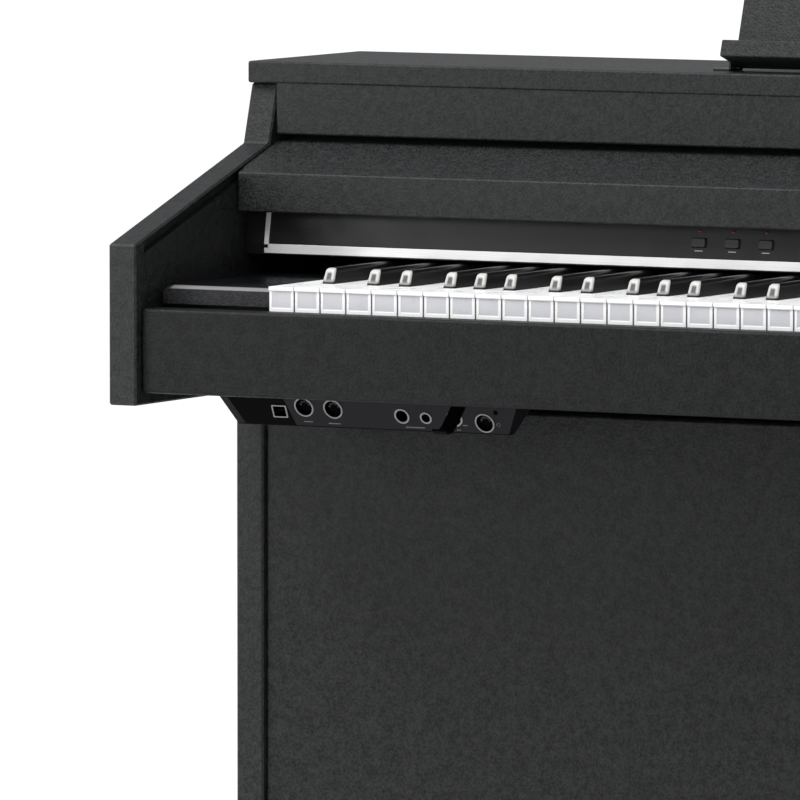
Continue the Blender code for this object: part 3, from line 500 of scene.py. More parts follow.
back_fibre = raw_board("back_fibre")
dress(back_fibre, "back_panel")
BACK_SCREW_IN = 0.02
BACK_SCREW_UP = 0.012
BACK_SCREW_SUNK = 0.0017
low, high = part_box("back_panel")
back_x = np.linspace(low.x + BACK_SCREW_IN, high.x - BACK_SCREW_IN, 9)
back_rows = (low.z + BACK_SCREW_UP, high.z - BACK_SCREW_UP)
back_screws = [screw((x, high.y - BACK_SCREW_SUNK, z), (0, 1, 0), 0.003) for x in back_x for z in back_rows]
piece("back_screws", back_screws, screw_steel)


# ---- Lower front board ----
# The board between the legs, the same foil with rounded edges. It braces the stand; nothing touches it but
# the two sides, and a narrow gap above it opens under the keybed.
# The board's foil is a darker copy of the shared black foil: its extra darkness is painted shade.
front_foil = pebbled("front_foil", (0.0012, 0.0016, 0.0016), (0.0260, 0.0270, 0.0272), gloss=0.24)
front = box_shape(*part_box("lower_front_board"))
piece("rounded_front_board", [front], front_foil, ["lower_front_board"], edge=0.0022)


# ---- Control panel ----
# A long moulded face behind the keys in smooth black plastic, with a bright satin trim along its lower edge.
# Rubbery buttons with a small lamp over each, and a volume slider with a printed scale, stand on it.
def moulded(name, dark, light, grain=2600.0, depth=0.00003, rough=(0.3, 0.42), specular=0.5):
    """Moulded plastic: a fine spark-eroded texture, and broad faint changes of gloss."""
    plastic = Finish(name, Specular_IOR_Level=specular)
    spot = plastic.place()
    spark = plastic.noise(spot, grain, 2.0)
    clouds = plastic.noise(spot, 35.0)
    plastic.wear(Base_Color=plastic.mix(spark, dark, light), Roughness=clouds.stretch(0.3, 0.7, *rough))
    plastic.bump(spark, depth)
    return plastic


def rounded_rectangle(width, height, corner, steps=5):
    """Four quarter circles, one at each corner, run through in one turn."""
    turn = (np.arange(4)[:, None] * math.pi / 2 + np.linspace(0, math.pi / 2, steps)).ravel()
    centre_x = np.repeat([1, -1, -1, 1], steps) * (width / 2 - corner)
    centre_y = np.repeat([1, 1, -1, -1], steps) * (height / 2 - corner)
    return np.column_stack([centre_x + corner * np.cos(turn), centre_y + corner * np.sin(turn)])


LEAST_HALF = 0.0002
LEAST_CORNER = 0.0001


def pad(width, height, corner, low, high, edge, dish=0.0):
    """Rounded rectangles stacked from low to high: the last quarter circle draws them in over the edge, and a
    smaller one at the middle sinks by the dish."""
    arc = np.linspace(0, math.pi / 2, 5)
    heights = [low, *(high - edge + edge * np.sin(arc)), high - dish * 0.6, high - dish]
    insets = [0.0, *(edge * (1 - np.cos(arc))), edge + width * 0.12, edge + width * 0.24]
    rings = []
    for at, inset in zip(heights, insets):
        reach = min(inset, height / 2 - LEAST_HALF, width / 2 - LEAST_HALF)
        flat = rounded_rectangle(width - 2 * reach, height - 2 * reach, max(corner - reach, LEAST_CORNER))
        rings.append(at_height(flat, at))
    return loft(rings)


panel_plastic = moulded("panel_plastic", (0.006, 0.006, 0.007), (0.011, 0.011, 0.012), specular=0.4)
dress(panel_plastic, "control_panel")

trim_metal = Finish("trim_metal", Specular_IOR_Level=1.0)
brushed = trim_metal.noise(trim_metal.place(8.0, 2600.0, 2600.0), 1.0, 3.0)
trim_metal.wear(
    Base_Color=trim_metal.mix(brushed, 0.95, 0.98),
    Metallic=brushed.stretch(0.3, 0.7, 0.05, 0.20),
    Roughness=brushed.stretch(0.3, 0.7, 0.14, 0.26),
)
TRIM_LEG = 0.004
TRIM_HEIGHT = 0.0075
TRIM_THICKNESS = 0.0015
PANEL_KNEE = 0.024  # height above the keys at which the panel begins to lean back
PANEL_LEAN = 0.008 / 0.048
low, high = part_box("panel_trim")
trim_strip = box_shape(low, (high.x, low.y + TRIM_THICKNESS, low.z + TRIM_HEIGHT))
trim_knee = KEY_TOP + PANEL_KNEE
leg_lean = (high.z - trim_knee) * PANEL_LEAN
leg_outline = [
    (low.y, low.z + TRIM_LEG),
    (low.y + TRIM_THICKNESS, low.z + TRIM_LEG),
    (low.y + TRIM_THICKNESS, trim_knee),
    (low.y + TRIM_THICKNESS + leg_lean, high.z),
    (low.y + leg_lean, high.z),
    (low.y, trim_knee),
]
trim_legs = [board(leg_outline, "x", x, x + TRIM_LEG) for x in (low.x, high.x - TRIM_LEG)]
trim_shapes = [trim_strip, *trim_legs]
piece("bright_trim", trim_shapes, trim_metal, ["panel_trim"], edge=0.0003)

panel_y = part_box("control_panel")[0].y
PANEL_ANGLE = math.atan(PANEL_LEAN)
FACE_UP = (0, math.sin(PANEL_ANGLE), math.cos(PANEL_ANGLE))
FACE_OUT = (0, -math.cos(PANEL_ANGLE), math.sin(PANEL_ANGLE))
CONTROL_RISE = 0.036
CONTROL_DEEP = -0.008


def on_panel(shape, x, rise=CONTROL_RISE):
    """A shape set on the control panel's leaning face, at a height above the key tops."""
    at = (x, panel_y + (rise - PANEL_KNEE) * PANEL_LEAN, KEY_TOP + rise)
    return placed(shape, at, (1, 0, 0), FACE_UP, FACE_OUT)


def middle_x(node):
    """The middle of a node's width."""
    low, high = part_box(node)
    return (low.x + high.x) / 2


rubber = moulded("rubber", (0.030, 0.030, 0.032), (0.060, 0.060, 0.063), 3200.0, 0.00004, (0.5, 0.6), 0.35)
button_shape = pad(0.012, 0.007, 0.0014, CONTROL_DEEP, 0.002, 0.0006, 0.0003)
panel_buttons = ("power_button", "panel_button_1", "panel_button_2", "panel_button_3")
for name in panel_buttons:
    piece(f"rubber_{name}", [on_panel(button_shape, middle_x(name))], rubber, [name], name)

SLIDER_TRAVEL = 0.040
GRIP_OFFSET = 0.003
slider_x = middle_x("volume_slider")
knob = on_panel(pad(0.010, 0.014, 0.0012, 0.0005, 0.0065, 0.0008, 0.0010), slider_x)
neck = on_panel(pad(0.0034, 0.0022, 0.0004, CONTROL_DEEP, 0.002, 0.0002), slider_x)
grip = pad(0.0006, 0.010, 0.0002, 0.005, 0.0068, 0.0002)
grips = [on_panel(grip, slider_x + offset) for offset in (-GRIP_OFFSET, GRIP_OFFSET)]
piece("grooved_slider", [knob, neck, *grips], rubber, ["volume_slider"], "volume_slider")

lamp = speckled("lamp", 900.0, (0.10, 0.012, 0.010), (0.20, 0.030, 0.024),
    Transmission_Weight=0.2, Roughness=0.15)
LAMP_RISE = 0.0455
LENS_PROFILE = ((0.0016, -0.0004), (0.0016, 0.0003), (0.0013, 0.0007), (0.0008, 0.0009), (0.0001, 0.00095))
lenses = [on_panel(turned(LENS_PROFILE, 20), middle_x(name), LAMP_RISE) for name in panel_buttons]
piece("lamps", lenses, lamp)

print_white = speckled("print_white", 2500.0, (0.42, 0.42, 0.43), (0.56, 0.56, 0.57), 0.00002, Roughness=0.5)


def printed_bar(width, height):
    """A thin printed mark: a low rounded pad."""
    return pad(width, height, min(width, height) * 0.4, -0.0002, 0.00012, 0.00005)


SCALE_RISE = CONTROL_RISE + 0.0105
MARK_RISE = CONTROL_RISE - 0.0065
LONG_TICK = 0.0036
SHORT_TICK = 0.0022
scale_x = np.linspace(slider_x, slider_x + SLIDER_TRAVEL, 9)
ticks = np.where(np.arange(9) % 4 == 0, LONG_TICK, SHORT_TICK)
scale_marks = [on_panel(printed_bar(0.0005, tick), x, SCALE_RISE) for x, tick in zip(scale_x, ticks)]
button_marks = [on_panel(printed_bar(0.0070, 0.0007), middle_x(name), MARK_RISE) for name in panel_buttons]
piece("panel_print", scale_marks + button_marks, print_white)


# ---- Key cover and music rest ----
# A thin board slides in grooves in the arms; its front lip is what the player pulls. The rest leans back
# between two steel brackets on the top; a soft strip on its ledge keeps the pages from sliding.
cover_foil = pebbled("cover_foil")
COVER_SLOPE = 0.071 / 0.223
COVER_LIP = 0.012
COVER_DROP = 0.008 * math.sqrt(1 + COVER_SLOPE**2)
LIP_LAP = 0.004  # how far the lip's block reaches under the board
LIP_STEP = 0.003
low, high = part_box("key_cover")


def cover_top(y):
    """Height of the cover's upper face, a straight slope."""
    return high.z - (high.y - y) * COVER_SLOPE


lip_back = low.y + COVER_LIP
lap = lip_back + LIP_LAP
cover_outline = [
    (lip_back, cover_top(lip_back)),
    (high.y, cover_top(high.y)),
    (high.y, cover_top(high.y) - COVER_DROP),
    (lip_back, cover_top(lip_back) - COVER_DROP),
]
lip_outline = [
    (low.y, low.z),
    (low.y, cover_top(low.y)),
    (lap, cover_top(lap)),
    (lap, cover_top(lap) - COVER_DROP),
    (lip_back, cover_top(lip_back) - COVER_DROP - LIP_STEP),
    (lip_back, low.z),
]
slide = board(cover_outline, "x", low.x, high.x)
lip = board(lip_outline, "x", side_high.x + BOARD_GAP, -side_high.x - BOARD_GAP)
piece("rounded_key_cover", [slide, lip], cover_foil, ["key_cover"], "key_cover", edge=0.0014)

rest_foil = pebbled("rest_foil")
hinge = next(joint for joint in frame["joints"] if joint["name"] == "music_rest_hinge")["pos_m"]
REST_LEAN = math.radians(18)
REST_HEIGHT = 0.150
REST_HALF = 0.005
REST_LEDGE = 0.028
LEDGE_LIP = 0.004
rest_up = np.array([0, math.sin(REST_LEAN), math.cos(REST_LEAN)])
rest_out = np.array([0, -math.cos(REST_LEAN), math.sin(REST_LEAN)])


def on_rest(places):
    """(y, z) of points so far up the rest's board and so far out from its middle plane."""
    return [(np.array(hinge) + rest_up * along + rest_out * away)[1:] for along, away in places]


ledge_end = REST_HALF + REST_LEDGE
rest_outline = (
    (-REST_HALF, -REST_HALF),
    (-REST_HALF, ledge_end),
    (REST_HALF + LEDGE_LIP, ledge_end),
    (REST_HALF + LEDGE_LIP, ledge_end - LEDGE_LIP),
    (REST_HALF, ledge_end - LEDGE_LIP),
    (REST_HALF, REST_HALF),
    (REST_HEIGHT, REST_HALF),
    (REST_HEIGHT, -REST_HALF),
)
strip_outline = (
    (REST_HALF - 0.0002, REST_HALF + 0.003),
    (REST_HALF - 0.0002, ledge_end - 0.007),
    (REST_HALF + 0.0010, ledge_end - 0.0075),
    (REST_HALF + 0.0010, REST_HALF + 0.0035),
)
STRIP_SHORT = 0.02
low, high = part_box("music_rest")
rest = board(on_rest(rest_outline), "x", low.x, high.x)
piece("rounded_music_rest", [rest], rest_foil, ["music_rest"], "music_rest", edge=0.0012)
ledge_strip = board(on_rest(strip_outline), "x", low.x + STRIP_SHORT, high.x - STRIP_SHORT)
piece("ledge_strip", [ledge_strip], rubber, body="music_rest")

bracket_paint = moulded("bracket_paint", 0.006, 0.013, 1800.0, 0.00004, (0.38, 0.48))
BRACKET_REACH = 0.011
BRACKET_SHEET = 0.002
BRACKET_TAB = 0.016
BRACKET_GAP = 0.0006
PIN_PROFILE = ((0.0042, -0.0015), (0.0042, 0.0008), (0.0034, 0.0016), (0.0004, 0.0018))
top_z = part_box("top_board")[1].z
foot_z = top_z - 0.0002
bracket_y = (hinge[1] - BRACKET_REACH, hinge[1] + BRACKET_REACH)
arc = np.linspace(0, math.pi, 13)
round_head = zip(hinge[1] + BRACKET_REACH * np.cos(arc), hinge[2] + BRACKET_REACH * np.sin(arc))
bracket_outline = [*round_head, *((y, foot_z) for y in bracket_y)]
bracket_shapes = []
for sign, edge_x in ((-1, low.x - BRACKET_GAP), (1, high.x + BRACKET_GAP)):
    plate_x = edge_x + sign * BRACKET_SHEET
    tab_x = sorted((edge_x, edge_x + sign * BRACKET_TAB))
    tab_low = (tab_x[0], bracket_y[0], foot_z)
    tab_high = (tab_x[1], bracket_y[1], top_z + BRACKET_SHEET)
    pin = facing_side(turned(PIN_PROFILE), (plate_x, hinge[1], hinge[2]), sign)
    plate = board(bracket_outline, "x", *sorted((edge_x, plate_x)))
    bracket_shapes += [plate, box_shape(tab_low, tab_high), pin]
piece("rest_brackets", bracket_shapes, bracket_paint, edge=0.0004, steps=2)


# ---- Keys ----
# Injection-moulded keys: a white one is a thin top plate that overhangs a body with a framed front whose
# sunk panel carries painted shade, and a black one is a tapered bar whose sloping front carries a painted
# highlight round its rim.
KEY_PITCH = 0.0235
KEY_GAP = 0.001
KEY_HEIGHT = 0.0205
PLATE = 0.0030
PLATE_OVERHANG = 0.0010
BODY_INSET = 0.00025
APRON = 0.0022
FRAME_SIDE = 0.0021
FRAME_FOOT = 0.0030
FRAME_HEAD = 0.0006
RECESS = 0.0003
KEY_BACK = 0.228
BLACK_SETBACK = 0.050
BLACK_BACK = 0.2265
BLACK_WIDTH = 0.0108
BLACK_TOP_WIDTH = 0.0090
BLACK_RISE = 0.0125
BLACK_SLOPE = 0.006
BLACK_CLEARANCE = 0.001
BLACK_ROUND = 0.0026
BLACK_CORNER = 0.0020
BLACK_CHEEK = 0.0012  # length of the straight side behind each front corner
BLACK_LEVELS = (0.0010, 0.0020, 0.0042, 0.0080)  # heights at which the painted highlight round the front changes
BLACK_SHIFT = {1: -0.0027, 3: 0.0027, 6: -0.0036, 8: 0.0, 10: 0.0036}
FOOT_HIGHLIGHT = 0.45
NEAR_CORNER_HIGHLIGHT = 0.08
NOTES = range(9, 97)
OWN_NOTES = 15
NOTE_NAMES = ("c", "c_sharp", "d", "d_sharp", "e", "f", "f_sharp", "g", "g_sharp", "a", "a_sharp", "b")
WHITES = [note for note in NOTES if note % 12 not in BLACK_SHIFT]
key_edge = first_key_low.x - KEY_GAP / 2

ivory = Finish("ivory", Specular_IOR_Level=0.5)
ivory_spot = ivory.place()
ivory_clouds = ivory.noise(ivory_spot, 60.0, 3.0).stretch(0.3, 0.7)
ivory_grain = ivory.noise(ivory_spot, 1100.0, 2.0)
ivory_tone = ivory_clouds * 0.4 + ivory_grain * 0.6
# The front panel's greyer colour is painted shade; the polished white is the keys' own colour.
ivory_painted_shade = ivory.mix(ivory_tone, (0.54, 0.54, 0.575), (0.65, 0.65, 0.675))
ivory_polished = ivory.mix(ivory_tone, 0.92, 0.95)
ivory.wear(
    Base_Color=ivory.mix(ivory.shade(), ivory_painted_shade, ivory_polished),
    Roughness=ivory_clouds.stretch(0.0, 1.0, 0.24, 0.36),
)
ivory.bump(ivory_grain, 0.00003)

ebony = Finish("ebony", Specular_IOR_Level=0.35)
ebony_lines = ebony.noise(ebony.place(2400.0, 60.0, 2400.0), 1.0, 3.0)
ebony_ground = ebony.mix(ebony_lines, (0.004, 0.004, 0.0045), (0.009, 0.009, 0.010))
ebony.wear(
    # The pale colour, laid where the shade is 1, is a painted highlight round the front's rim.
    Base_Color=ebony.mix(ebony.shade(), ebony_ground, (0.50, 0.49, 0.475)),
    Roughness=ebony_lines.stretch(0.3, 0.7, 0.28, 0.40),
)
ebony.bump(ebony_lines, 0.00003)


def black_middle(note):
    """Middle of a black key, from the line between its white neighbours."""
    return key_edge + (WHITES.index(note - 1) + 1) * KEY_PITCH + BLACK_SHIFT[note % 12]


def is_black(note):
    """Whether a note has a key and the key is black."""
    return note in NOTES and note not in WHITES


def white_sides(note, inset=0.0):
    """Left and right edges of a white key's front part."""
    left = key_edge + WHITES.index(note) * KEY_PITCH + KEY_GAP / 2 + inset
    return left, left + KEY_PITCH - KEY_GAP - 2 * inset


def white_outline(note, inset=0.0, front=0.0):
    """(x, y) points of a white key from its back left corner round the front, notched beside black keys."""
    left, right = white_sides(note, inset)
    back = KEY_FRONT + KEY_BACK
    step = KEY_FRONT + BLACK_SETBACK - BLACK_CLEARANCE - inset
    room = BLACK_WIDTH / 2 + BLACK_CLEARANCE + inset
    points = [(left, back)]
    if is_black(note - 1):
        inner = black_middle(note - 1) + room
        points = [(inner, back), (inner, step), (left, step)]
    points += [(left, KEY_FRONT + front), (right, KEY_FRONT + front)]
    if is_black(note + 1):
        inner = black_middle(note + 1) - room
        return points + [(right, step), (inner, step), (inner, back)]
    return points + [(right, back)]


def white_key(note):
    """Three shells: the plate, the body drawn in below it, and an apron across the front. The apron is
    rectangles in a row that step in to a frame and sink to a panel; only the panel's shade is 0, which gives
    it painted shade."""
    under = KEY_TOP - PLATE
    foot = KEY_TOP - KEY_HEIGHT
    plate = board(white_outline(note), "z", under, KEY_TOP)
    body = board(white_outline(note, BODY_INSET, PLATE_OVERHANG + APRON / 2), "z", foot, under + 0.0004)
    left, right = white_sides(note, BODY_INSET)
    front = KEY_FRONT + PLATE_OVERHANG
    rings = []
    for y, part in ((front + APRON, 0.0), (front, 0.0), (front, 1.0), (front + RECESS, 1.25)):
        x = (left + FRAME_SIDE * part, right - FRAME_SIDE * part)
        z = (foot + FRAME_FOOT * part, under - FRAME_HEAD * part)
        rings.append([(x[0], y, z[0]), (x[1], y, z[0]), (x[1], y, z[1]), (x[0], y, z[1])])
    polished = [(*shape, np.ones(len(shape[0]))) for shape in (plate, body)]
    return [*polished, (*loft(rings), np.repeat([1, 1, 1, 0], 4))]


def black_key(note):
    """Rounded rectangles stacked upwards: each draws in and steps back along the slope, and the last few
    follow an arc over the top edge. The shade, a painted highlight, is 1 on the front corners and over the
    top of the front, less along its foot, and 0 in the middle of the front and elsewhere."""
    arc = np.concatenate([np.zeros(6), np.linspace(0, math.pi / 2, 6)])
    steps = np.concatenate([[-KEY_HEIGHT, -0.001, *BLACK_LEVELS], np.full(6, BLACK_RISE - BLACK_ROUND)])
    heights = steps + BLACK_ROUND * np.sin(arc)
    draw_in = BLACK_ROUND * (1 - np.cos(arc))
    up = np.clip(heights / BLACK_RISE, 0, 1)
    half = ((BLACK_WIDTH + (BLACK_TOP_WIDTH - BLACK_WIDTH) * up) / 2 - draw_in)[:, None]
    nose = (KEY_FRONT + BLACK_SETBACK + BLACK_SLOPE * up + draw_in)[:, None]
    quarter = np.linspace(math.pi / 2, 0, 5)
    across = half - BLACK_CORNER * (1 - np.cos(quarter))
    deep = nose + BLACK_CORNER * (1 - np.sin(quarter))
    near = nose + BLACK_CORNER + BLACK_CHEEK
    back = np.full_like(near, KEY_FRONT + BLACK_BACK)
    inner = across[:, :1] * 0.5
    x = np.hstack([-inner, -across, -half, -half, half, half, across[:, ::-1], inner]) + black_middle(note)
    y = np.hstack([nose, deep, near, back, back, near, deep[:, ::-1], nose])
    z = np.repeat((KEY_TOP + heights)[:, None], x.shape[1], 1)
    corners = np.array([1, 2, 3, 4, 11, 12, 13, 14])
    front = np.array([0, *corners, 15])
    highlight = np.zeros_like(x)
    highlight[3, front] = FOOT_HIGHLIGHT
    highlight[4:6][:, corners] = 1.0
    highlight[4:6][:, [0, 15]] = NEAR_CORNER_HIGHLIGHT
    highlight[6:11][:, front] = 1.0
    return (*loft(np.stack([x, y, z], -1)), highlight.ravel())


def lay_keys(node, notes, bars=()):
    """One piece for a node's keys, all white or all black, with the bars that join the keys of a set."""
    if is_black(notes[0]):
        piece(f"moulded_{node}", [*map(black_key, notes), *bars], ebony, [node], node)
        return
    shells = [shell for note in notes for shell in white_key(note)]
    piece(f"moulded_{node}", [*shells, *bars], ivory, [node], node, edge=0.0005, steps=2, flat=18)


for note in NOTES[:OWN_NOTES]:
    lay_keys(f"key_{NOTE_NAMES[note % 12]}_{note // 12}", [note])

low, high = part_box("white_keys_c2_to_c8")
bar_low = (low.x, KEY_FRONT + KEY_BACK - 0.0005, low.z)
back_bar = box_shape(bar_low, (high.x, high.y, KEY_TOP - 0.001))
lay_keys("white_keys_c2_to_c8", [note for note in NOTES[OWN_NOTES:] if note in WHITES], [back_bar])
low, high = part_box("black_keys_c2_to_c8")
rail_low = (low.x + 0.001, KEY_FRONT + 0.216, KEY_TOP + 0.002)
rail = box_shape(rail_low, (high.x - 0.001, high.y - 0.0005, high.z - 0.003))
lay_keys("black_keys_c2_to_c8", [note for note in NOTES[OWN_NOTES:] if is_black(note)], [rail])


# ---- Key works ----
# A folded zinc-plated chassis that the keys rock on, a strip of red felt under their fronts, and green boards
# with copper tracks under their lacquer, which carry the contacts and the sound.
zinc = Finish("zinc", Metallic=0.8, Roughness=0.42)
spangle = zinc.node("ShaderNodeTexVoronoi", {}, {"Vector": zinc.place(), "Scale": 180.0}, "Color")
zinc.wear(Base_Color=zinc.mix(spangle, (0.20, 0.21, 0.22), (0.34, 0.35, 0.36)))
dress(zinc, "key_chassis")

red_felt = speckled("red_felt", 1700.0, (0.10, 0.008, 0.010), (0.36, 0.035, 0.040), 0.0004, 5.0, 0.75,
    Specular_IOR_Level=0.1, Sheen_Weight=0.4, Roughness=0.95)
dress(red_felt, "key_felt")

laminate = Finish("laminate", Roughness=0.4)
track_sockets = {"Vector": laminate.place(), "Scale": 90.0, "Mortar Size": 0.03}
tracks = laminate.node("ShaderNodeTexBrick", {}, track_sockets, "Fac")
laminate.wear(Base_Color=laminate.mix(tracks, (0.012, 0.085, 0.035), (0.030, 0.150, 0.065)))
laminate.bump(tracks, 0.00004)
dress(laminate, "contact_board", "main_board")


# ---- Speakers ----
# Paper cones on the keybed, firing down through black steel discs pressed with a field of round holes.
# The discs cover the holes in the keybed from below.
paper = speckled("paper", 900.0, (0.015, 0.015, 0.016), (0.045, 0.044, 0.043), 0.0002, 4.0, 0.7,
    Specular_IOR_Level=0.2, Roughness=0.8)
dress(paper, "speaker_left", "speaker_right")

grille_paint = moulded("grille_paint", 0.008, 0.016, 2000.0, 0.00003, (0.4, 0.5))
HOLE_PITCH = 0.0050
HOLE_RADIUS = 0.0017
HOLE_FIELD = 0.046
GRILLE_SHEET = 0.0008
CELL_SIDES = 12  # points on a cell's border: its corners and the middles of its sides


def perforated(radius):
    """A sheet of six-sided cells laid in rows, each second row half a cell along; in every cell twelve quads
    reach from its border to a round hole, on both faces, and twelve more line the hole."""
    row_step = HOLE_PITCH * math.sqrt(3) / 2
    count = int(radius / row_step) + 2
    row, column = np.meshgrid(np.arange(-count, count + 1), np.arange(-count, count + 1), indexing="ij")
    centres = np.column_stack([((column + (row % 2) / 2) * HOLE_PITCH).ravel(), (row * row_step).ravel()])
    centres = centres[np.hypot(*centres.T) < radius]
    side = np.arange(CELL_SIDES)
    reach = np.where(side % 2 == 1, HOLE_PITCH / math.sqrt(3), HOLE_PITCH / 2)
    unit = circle(1.0, CELL_SIDES)
    border = centres[:, None] + unit * reach[:, None]
    hole = centres[:, None] + unit * HOLE_RADIUS
    rings = [(border, 0.0), (hole, 0.0), (hole, -GRILLE_SHEET), (border, -GRILLE_SHEET)]
    grid = np.stack([np.dstack([flat, np.full(flat.shape[:2], z)]) for flat, z in rings], 1)
    cell, ring, j = np.meshgrid(np.arange(len(centres)), np.arange(len(rings) - 1), side, indexing="ij")
    start = (cell * len(rings) + ring) * CELL_SIDES
    after = (j + 1) % CELL_SIDES
    below = start + CELL_SIDES
    quads = np.stack([start + j, start + after, below + after, below + j], -1).reshape(-1, 4)
    points = grid.reshape(-1, 3)
    found = np.unique(np.round(points, 6), axis=0, return_index=True, return_inverse=True)
    return points[found[1]], found[2].ravel()[quads].tolist()


def skirt(sheet):
    """Quads from the sheet's open upper border straight down to its open lower border: an edge is open if
    only one quad has it, and points above one another share a place."""
    points, faces = sheet
    quads = np.array(faces)
    edges = np.stack([quads, np.roll(quads, -1, 1)], -1).reshape(-1, 2)
    found = np.unique(np.sort(edges, 1), axis=0, return_index=True, return_counts=True)
    open_edges = edges[found[1][found[2] == 1]]
    upper = open_edges[points[open_edges[:, 0], 2] > -GRILLE_SHEET / 2].tolist()
    places = {tuple(place): i for i, place in enumerate(np.round(points, 6).tolist())}
    down = [[places[(*np.round(points[i, :2], 6).tolist(), -GRILLE_SHEET)] for i in edge] for edge in upper]
    return points, faces + [[edge[1], edge[0], below[0], below[1]] for edge, below in zip(upper, down)]


hole_field = skirt(perforated(HOLE_FIELD))
for side in ("left", "right"):
    name = f"speaker_grille_{side}"
    low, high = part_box(name)
    centre = ((low.x + high.x) / 2, (low.y + high.y) / 2, low.z + GRILLE_SHEET)
    radius = (high.x - low.x) / 2
    lift = high.z - low.z
    rim_profile = [
        (radius, lift * 0.4),
        (radius, lift - GRILLE_SHEET),
        (HOLE_FIELD - 0.002, lift - GRILLE_SHEET),
        (HOLE_FIELD - 0.002, 0.0),
        (HOLE_FIELD + 0.003, -GRILLE_SHEET),
        (radius - 0.001, -GRILLE_SHEET),
    ]
    shapes = [placed(hole_field, centre), placed(turned(rim_profile, 48, True), centre)]
    piece(f"pressed_{name}", shapes, grille_paint, [name])


# ---- Pedals ----
# A rail between the legs with a box at its middle, in the black foil; three cast and polished brass pedals
# rock in slots with moulded frames, and a ribbed screw foot takes up the space to the floor.
pedal_foil = pebbled("pedal_foil")
dress(pedal_foil, "pedal_box")

brass = Finish("brass", Metallic=1.0)
scratches = brass.noise(brass.place(900.0, 60.0, 900.0), 1.0, 3.0)
tarnish = brass.noise(brass.place(), 45.0, 3.0)
brass.wear(
    Base_Color=brass.mix(tarnish, (0.62, 0.45, 0.20), (0.82, 0.66, 0.36)),
    Roughness=scratches.stretch(0.3, 0.7, 0.14, 0.30),
)
slot_frame = moulded("slot_frame", 0.010, 0.020, 1500.0, 0.00006, (0.45, 0.55))
PEDAL_NECK = 0.34  # half width of the neck, as a part of the toe's whole width
TOE_LENGTH = 0.08  # the parts of the pedal's length at which its shape changes
NECK_START = 0.26
NECK_EASE = 0.26
TOE_THIN = 0.45


def cast_pedal(low, high):
    """Flattened ovals carried from the toe to the pivot: their half width swells as a quarter circle at the
    toe, stays, and eases down to the neck; their height swells with it, so that the top is crowned."""
    along = np.concatenate([np.linspace(0.0, 1.0, 12) ** 2 * TOE_LENGTH, np.linspace(0.11, 1.0, 24)])
    toe = np.sqrt(np.clip(1 - (1 - along / TOE_LENGTH).clip(0, 1) ** 2, 0.0004, 1))
    ease = np.clip((along - NECK_START) / NECK_EASE, 0, 1)
    neck = 1 - (1 - 2 * PEDAL_NECK) * ease**2 * (3 - 2 * ease)
    wide = (high.x - low.x) / 2 * toe * neck
    thick = (high.z - low.z) / 2 * np.minimum(1, TOE_THIN + (1 - TOE_THIN) * toe)
    cosine, sine = circle(1.0, 28).T
    x = (low.x + high.x) / 2 + wide[:, None] * (np.sign(cosine) * np.abs(cosine) ** 0.55)
    y = np.repeat((low.y + (high.y - low.y) * along)[:, None], len(sine), 1)
    z = (low.z + high.z) / 2 + thick[:, None] * (np.sign(sine) * np.abs(sine) ** 0.75)
    return loft(np.stack([x, y, z], -1))


FRAME_DROP = 0.006
outer = rounded_rectangle(0.038, 0.042, 0.004)
inner = rounded_rectangle(0.0315, 0.0355, 0.002)
frame_levels = ((outer, -0.0005), (outer, 0.0010), (inner, 0.0014), (inner, -0.0005))
frame_shape = loft([at_height(flat, out) for flat, out in frame_levels], True)
box_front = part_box("pedal_box")[0].y
frames = []
for side in ("left", "middle", "right"):
    name = f"pedal_{side}"
    low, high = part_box(name)
    piece(f"cast_{name}", [cast_pedal(low, high)], brass, [name], name, flat=60)
    at = ((low.x + high.x) / 2, box_front, (low.z + high.z) / 2 - FRAME_DROP)
    frames.append(placed(frame_shape, at, (1, 0, 0), (0, 0, 1), (0, -1, 0)))
piece("pedal_slot_frames", frames, slot_frame)

RIBS = 24
RIB_DEPTH = 0.05
ADJUSTER_PROFILE = (  # radius, height above the floor, share of the ribs
    (0.0130, 0.0, 0),
    (0.0140, 0.001, 1),
    (0.0140, 0.007, 1),
    (0.0128, 0.008, 0),
    (0.0062, 0.0115, 0),
    (0.0058, 0.013, 0),
)
low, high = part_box("pedal_adjuster")
centre = np.array([(low.x + high.x) / 2, (low.y + high.y) / 2])
turn = np.linspace(0, 2 * math.pi, RIBS * 6, endpoint=False)
rib = RIB_DEPTH * (1 + np.cos(RIBS * turn)) / 2
levels = [*ADJUSTER_PROFILE, (ADJUSTER_PROFILE[-1][0], high.z - low.z, 0)]
adjuster_rings = []
for radius, height, share in levels:
    reach = radius * (1 - rib * share)
    adjuster_rings.append(at_height(circle(1.0, len(turn)) * reach[:, None] + centre, low.z + height))
adjuster = loft(adjuster_rings)
piece("ribbed_adjuster", [adjuster], slot_frame, ["pedal_adjuster"], "pedal_adjuster")


# ---- Jack box ----
# A shallow plastic tray under the left of the keybed with a tilted plate that carries the sockets: pale rings
# round dark mouths, short printed marks under them, a dark sheet of painted shadow over the left part and
# along the lower edge, and a black screw at the right.
JACK_DARK = (0.0035, 0.0033, 0.0055)
JACK_LIGHT = (0.0075, 0.0070, 0.0100)
MOUTH_AND_SHADOW_DARK = (0.0006, 0.0006, 0.0007)
jack_plastic = moulded("jack_plastic", JACK_DARK, JACK_LIGHT, 1900.0, 0.00004, (0.4, 0.5), 0.16)
dress(jack_plastic, "jack_box", "jack_panel")
